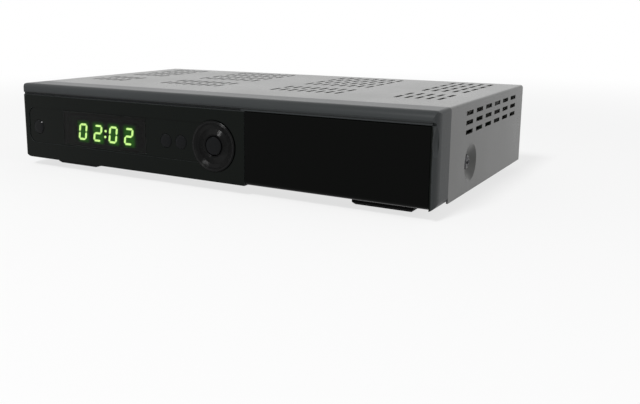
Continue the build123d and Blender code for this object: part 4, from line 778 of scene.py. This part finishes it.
def add_switch_words():
    """OFF and ON in flat letters on the rear wall, under the two halves of the switch."""
    for text, x in SWITCH_WORDS:
        curve = bpy.data.curves.new(text, "FONT")
        curve.body = text
        curve.size = WORD_SIZE
        curve.align_x = "CENTER"
        curve.extrude = WORD_THICKNESS
        curve.resolution_u = 6
        letters = bpy.data.objects.new(text, curve)
        mesh = bpy.data.meshes.new_from_object(letters)
        bpy.data.objects.remove(letters)
        points = np.empty(len(mesh.vertices) * 3, dtype=np.float32)
        mesh.vertices.foreach_get("co", points)
        across, up, out = points.reshape(-1, 3).T
        y = REAR_WALL_Y + WORD_THICKNESS + out
        placed = np.stack([x - across, y, WORD_FOOT + up], axis=-1)
        mesh.vertices.foreach_set("co", placed.ravel())
        place_mesh("word_" + text.lower(), mesh, "chassis_steel", MARK_BLACK)


# ------------------------------------------------------------------ mains lead
def add_plug():
    """The flat plug and its two pins.

    The plug is oval sections along X. Their half width and half height grow a little along
    the neck, fall by the ribs' squared sine, and swell into the body by an eased step. The
    oval's power grows with the swell, and the last sections shrink to round the end.
    """
    x, y, z = PLUG_START
    columns = 72
    # Share of the plug's length and size of the sections that close its end
    end_share, end_size = np.array([(0.985, 0.985), (0.995, 0.96), (1.0, 0.92), (1.0, 0.0)]).T
    share = np.concatenate([[0.0], np.linspace(0, 0.97, 90), end_share])
    size = np.concatenate([[0.0], np.ones(90), end_size])
    swell = ease(share, 0.26, 0.20)
    neck = PLUG_NECK_RADIUS + PLUG_NECK_GROWTH * np.clip(share / 0.3, 0, 1)
    wave = np.sin(share / PLUG_RIBBED_SHARE * PLUG_RIBS * math.pi) ** 2
    ribs = PLUG_RIB_DEPTH * np.where(share < PLUG_RIBBED_SHARE, wave, 0)
    width = neck - ribs + (PLUG_HALF_WIDTH - neck) * swell
    height = neck - ribs + (PLUG_HALF_HEIGHT - neck) * swell
    across, up = oval(round_angles(columns), (2.2 + 3.0 * swell)[:, None])
    along = np.repeat((x + PLUG_LENGTH * share)[:, None], columns, axis=1)
    skin = [along, y + (width * size)[:, None] * across, z + (height * size)[:, None] * up]
    plug = add_piece("plug", [np.stack(skin, axis=-1)], "plug_plastic")
    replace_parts(plug, "plug_body")

    sleeve = [(0, 0), (SLEEVE_RADIUS, 0), (SLEEVE_RADIUS, SLEEVE_LENGTH)]
    turn = np.linspace(0, math.pi / 2, 7)
    nose = np.c_[PIN_RADIUS * np.cos(turn), PIN_LENGTH - PIN_NOSE + PIN_NOSE * np.sin(turn)]
    stations = np.concatenate([sleeve, [(PIN_RADIUS, SLEEVE_LENGTH)], nose])
    pins = [
        turned_skin(stations, (x + PLUG_LENGTH, y + side * PIN_SPACING / 2, z), (1, 0, 0), 40)
        for side in (-1, 1)
    ]
    pins = add_piece("pins", pins, "pin_metal")
    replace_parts(pins, "plug_pins")
    return [plug, pins]


def add_tie():
    """A strap round the coil's turns: an eighth-power oval, with the strap's breadth along Y."""
    x, y, z = TIE_PLACE
    across, up = oval(round_angles(96), 8.0)
    rows = []
    for out, side in ((0, -1), (1, -1), (1, 1), (0, 1), (0, -1)):
        wide = TIE_HALF_WIDTH + TIE_THICKNESS * out
        tall = TIE_HALF_HEIGHT + TIE_THICKNESS * out
        breadth = np.full_like(across, y + side * TIE_HALF_BREADTH)
        rows.append(np.stack([x + wide * across, breadth, z + tall * up], axis=-1))
    tie = add_piece("tie", [np.array(rows)], "plug_plastic", TIE_STRAP)
    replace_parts(tie, "cord_tie")
    return tie


def lead_route():
    """The lead's control points: its drop to the floor, its coil and its way to the plug.

    The coil is two flat spirals, one on the other: inwards on the floor, then outwards
    on top. The radius grows by the pitch for each turn away from the change of layer,
    and the height steps up there.
    """
    turn = np.arange(0, COIL_TURNS + 0.5 / COIL_POINTS_PER_TURN, 1 / COIL_POINTS_PER_TURN)
    radius = COIL_INNER + COIL_PITCH * np.abs(turn - COIL_LOWER_TURNS)
    height = COIL_FLOOR + COIL_LAYER * ease(turn, COIL_LOWER_TURNS - 0.2, 0.45)
    angle = math.pi - 2 * math.pi * turn
    coil = np.c_[COIL_X + radius * np.cos(angle), COIL_Y + radius * np.sin(angle), height]
    drop = np.array(CORD_EXIT) + np.array(LEAD_DROP) * MM
    away = np.array((COIL_X, COIL_Y, 0.0)) + np.array(LEAD_AWAY) * MM
    return np.concatenate([drop, coil, away, [PLUG_START]])


def add_lead():
    """The lead: straight out of its boot, down in an S, seven turns of a coil, and its plug."""
    route = lead_route()
    curve = bpy.data.curves.new("lead", "CURVE")
    curve.dimensions = "3D"
    spline = curve.splines.new("NURBS")
    spline.points.add(len(route) - 1)
    spline.points.foreach_set("co", np.c_[route, np.ones(len(route))].ravel())
    spline.order_u = 3
    spline.use_endpoint_u = True
    spline.resolution_u = 6
    curve.bevel_depth = CORD_DIAMETER / 2
    curve.bevel_resolution = 4
    curve.materials.append(materials["cord_rubber"])
    lead = bpy.data.objects.new("lead", curve)
    bpy.context.scene.collection.objects.link(lead)
    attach(lead, "housing")
    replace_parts(lead, "mains_cord", "mains_coil", "cord_end")
    add_plug() + [add_tie(), frame["nodes"]["strain_relief"]]


# ------------------------------------------------------------------ camera, floor and light
def add_camera():
    data = bpy.data.cameras.new("camera")
    camera = bpy.data.objects.new("camera", data)
    bpy.context.scene.collection.objects.link(camera)
    camera.location = CAMERA_PLACE
    level = math.cos(CAMERA_PITCH)
    towards = (math.sin(CAMERA_YAW) * level, math.cos(CAMERA_YAW) * level, -math.sin(CAMERA_PITCH))
    camera.rotation_euler = Vector(towards).to_track_quat("-Z", "Y").to_euler()
    data.sensor_width = CAMERA_SENSOR
    data.lens = CAMERA_LENS
    data.shift_x, data.shift_y = CAMERA_SHIFT
    data.clip_start = 0.01
    bpy.context.scene.camera = camera


def background_share(shader, share):
    """That share for the rays that see the background: camera, glossy and transmission rays."""
    path = shader.add("ShaderNodeLightPath").outputs
    seen = shader.math("MAXIMUM", path["Is Camera Ray"], path["Is Glossy Ray"])
    seen = shader.math("MAXIMUM", seen, path["Is Transmission Ray"])
    return shader.math("MULTIPLY", seen, share)


def blend_shaders(shader, factor, first, second, kind):
    blend = shader.add("ShaderNodeMixShader")
    for socket, value in zip(blend.inputs, (factor, first.outputs[0], second.outputs[0])):
        shader.feed(socket, value)
    shader.tree.links.new(blend.outputs[0], shader.add(kind).inputs["Surface"])


def add_floor():
    """A pale floor that keeps the object's shadow and turns plain white away from it."""
    mesh = bpy.data.meshes.new("floor")
    sides = ((-1, -1), (1, -1), (1, 1), (-1, 1))
    corners = [(side_x * FLOOR_REACH, side_y * FLOOR_REACH, 0) for side_x, side_y in sides]
    mesh.from_pydata(corners, [], [(0, 1, 2, 3)])
    floor = bpy.data.objects.new("floor", mesh)
    bpy.context.scene.collection.objects.link(floor)
    material = bpy.data.materials.new("floor")
    material.use_nodes = True
    material.node_tree.nodes.clear()
    shader = Shader(material.node_tree)
    matte = shader.put(shader.add("ShaderNodeBsdfDiffuse"), Color=FLOOR_GREY)
    white = shader.put(shader.add("ShaderNodeEmission"), Color=WHITE, Strength=1.0)
    distance = shader.add("ShaderNodeVectorMath", operation="LENGTH")
    shader.feed(distance.inputs[0], shader.object_point())
    away = distance.outputs["Value"]
    share = shader.remap(away, *FLOOR_WHITENS, FLOOR_WHITE_SHARE, 1.0, smooth=True)
    seen = background_share(shader, share)
    blend_shaders(shader, seen, matte, white, "ShaderNodeOutputMaterial")
    mesh.materials.append(material)


def add_world():
    world = bpy.data.worlds.new("studio")
    bpy.context.scene.world = world
    world.use_nodes = True
    world.node_tree.nodes.clear()
    shader = Shader(world.node_tree)
    dim = shader.put(shader.add("ShaderNodeBackground"), Color=WHITE, Strength=WORLD_LIGHT)
    white = shader.put(shader.add("ShaderNodeBackground"), Color=WHITE, Strength=1.0)
    blend_shaders(shader, background_share(shader, 1.0), dim, white, "ShaderNodeOutputWorld")


def add_lamp(name, place, target, size, power):
    data = bpy.data.lights.new(name, "AREA")
    data.shape = "RECTANGLE"
    data.size, data.size_y = size
    data.energy = power
    lamp = bpy.data.objects.new(name, data)
    lamp.location = place
    lamp.rotation_euler = (Vector(target) - Vector(place)).to_track_quat("-Z", "Y").to_euler()
    bpy.context.scene.collection.objects.link(lamp)


# ------------------------------------------------------------------ making
add_camera()
add_lead()
add_screws()
add_aerial_barrels()
add_rocker_marks()
add_switch_words()
add_floor()
add_world()
for lamp in LAMPS:
    add_lamp(*lamp)
bpy.context.scene.view_settings.view_transform = "Standard"
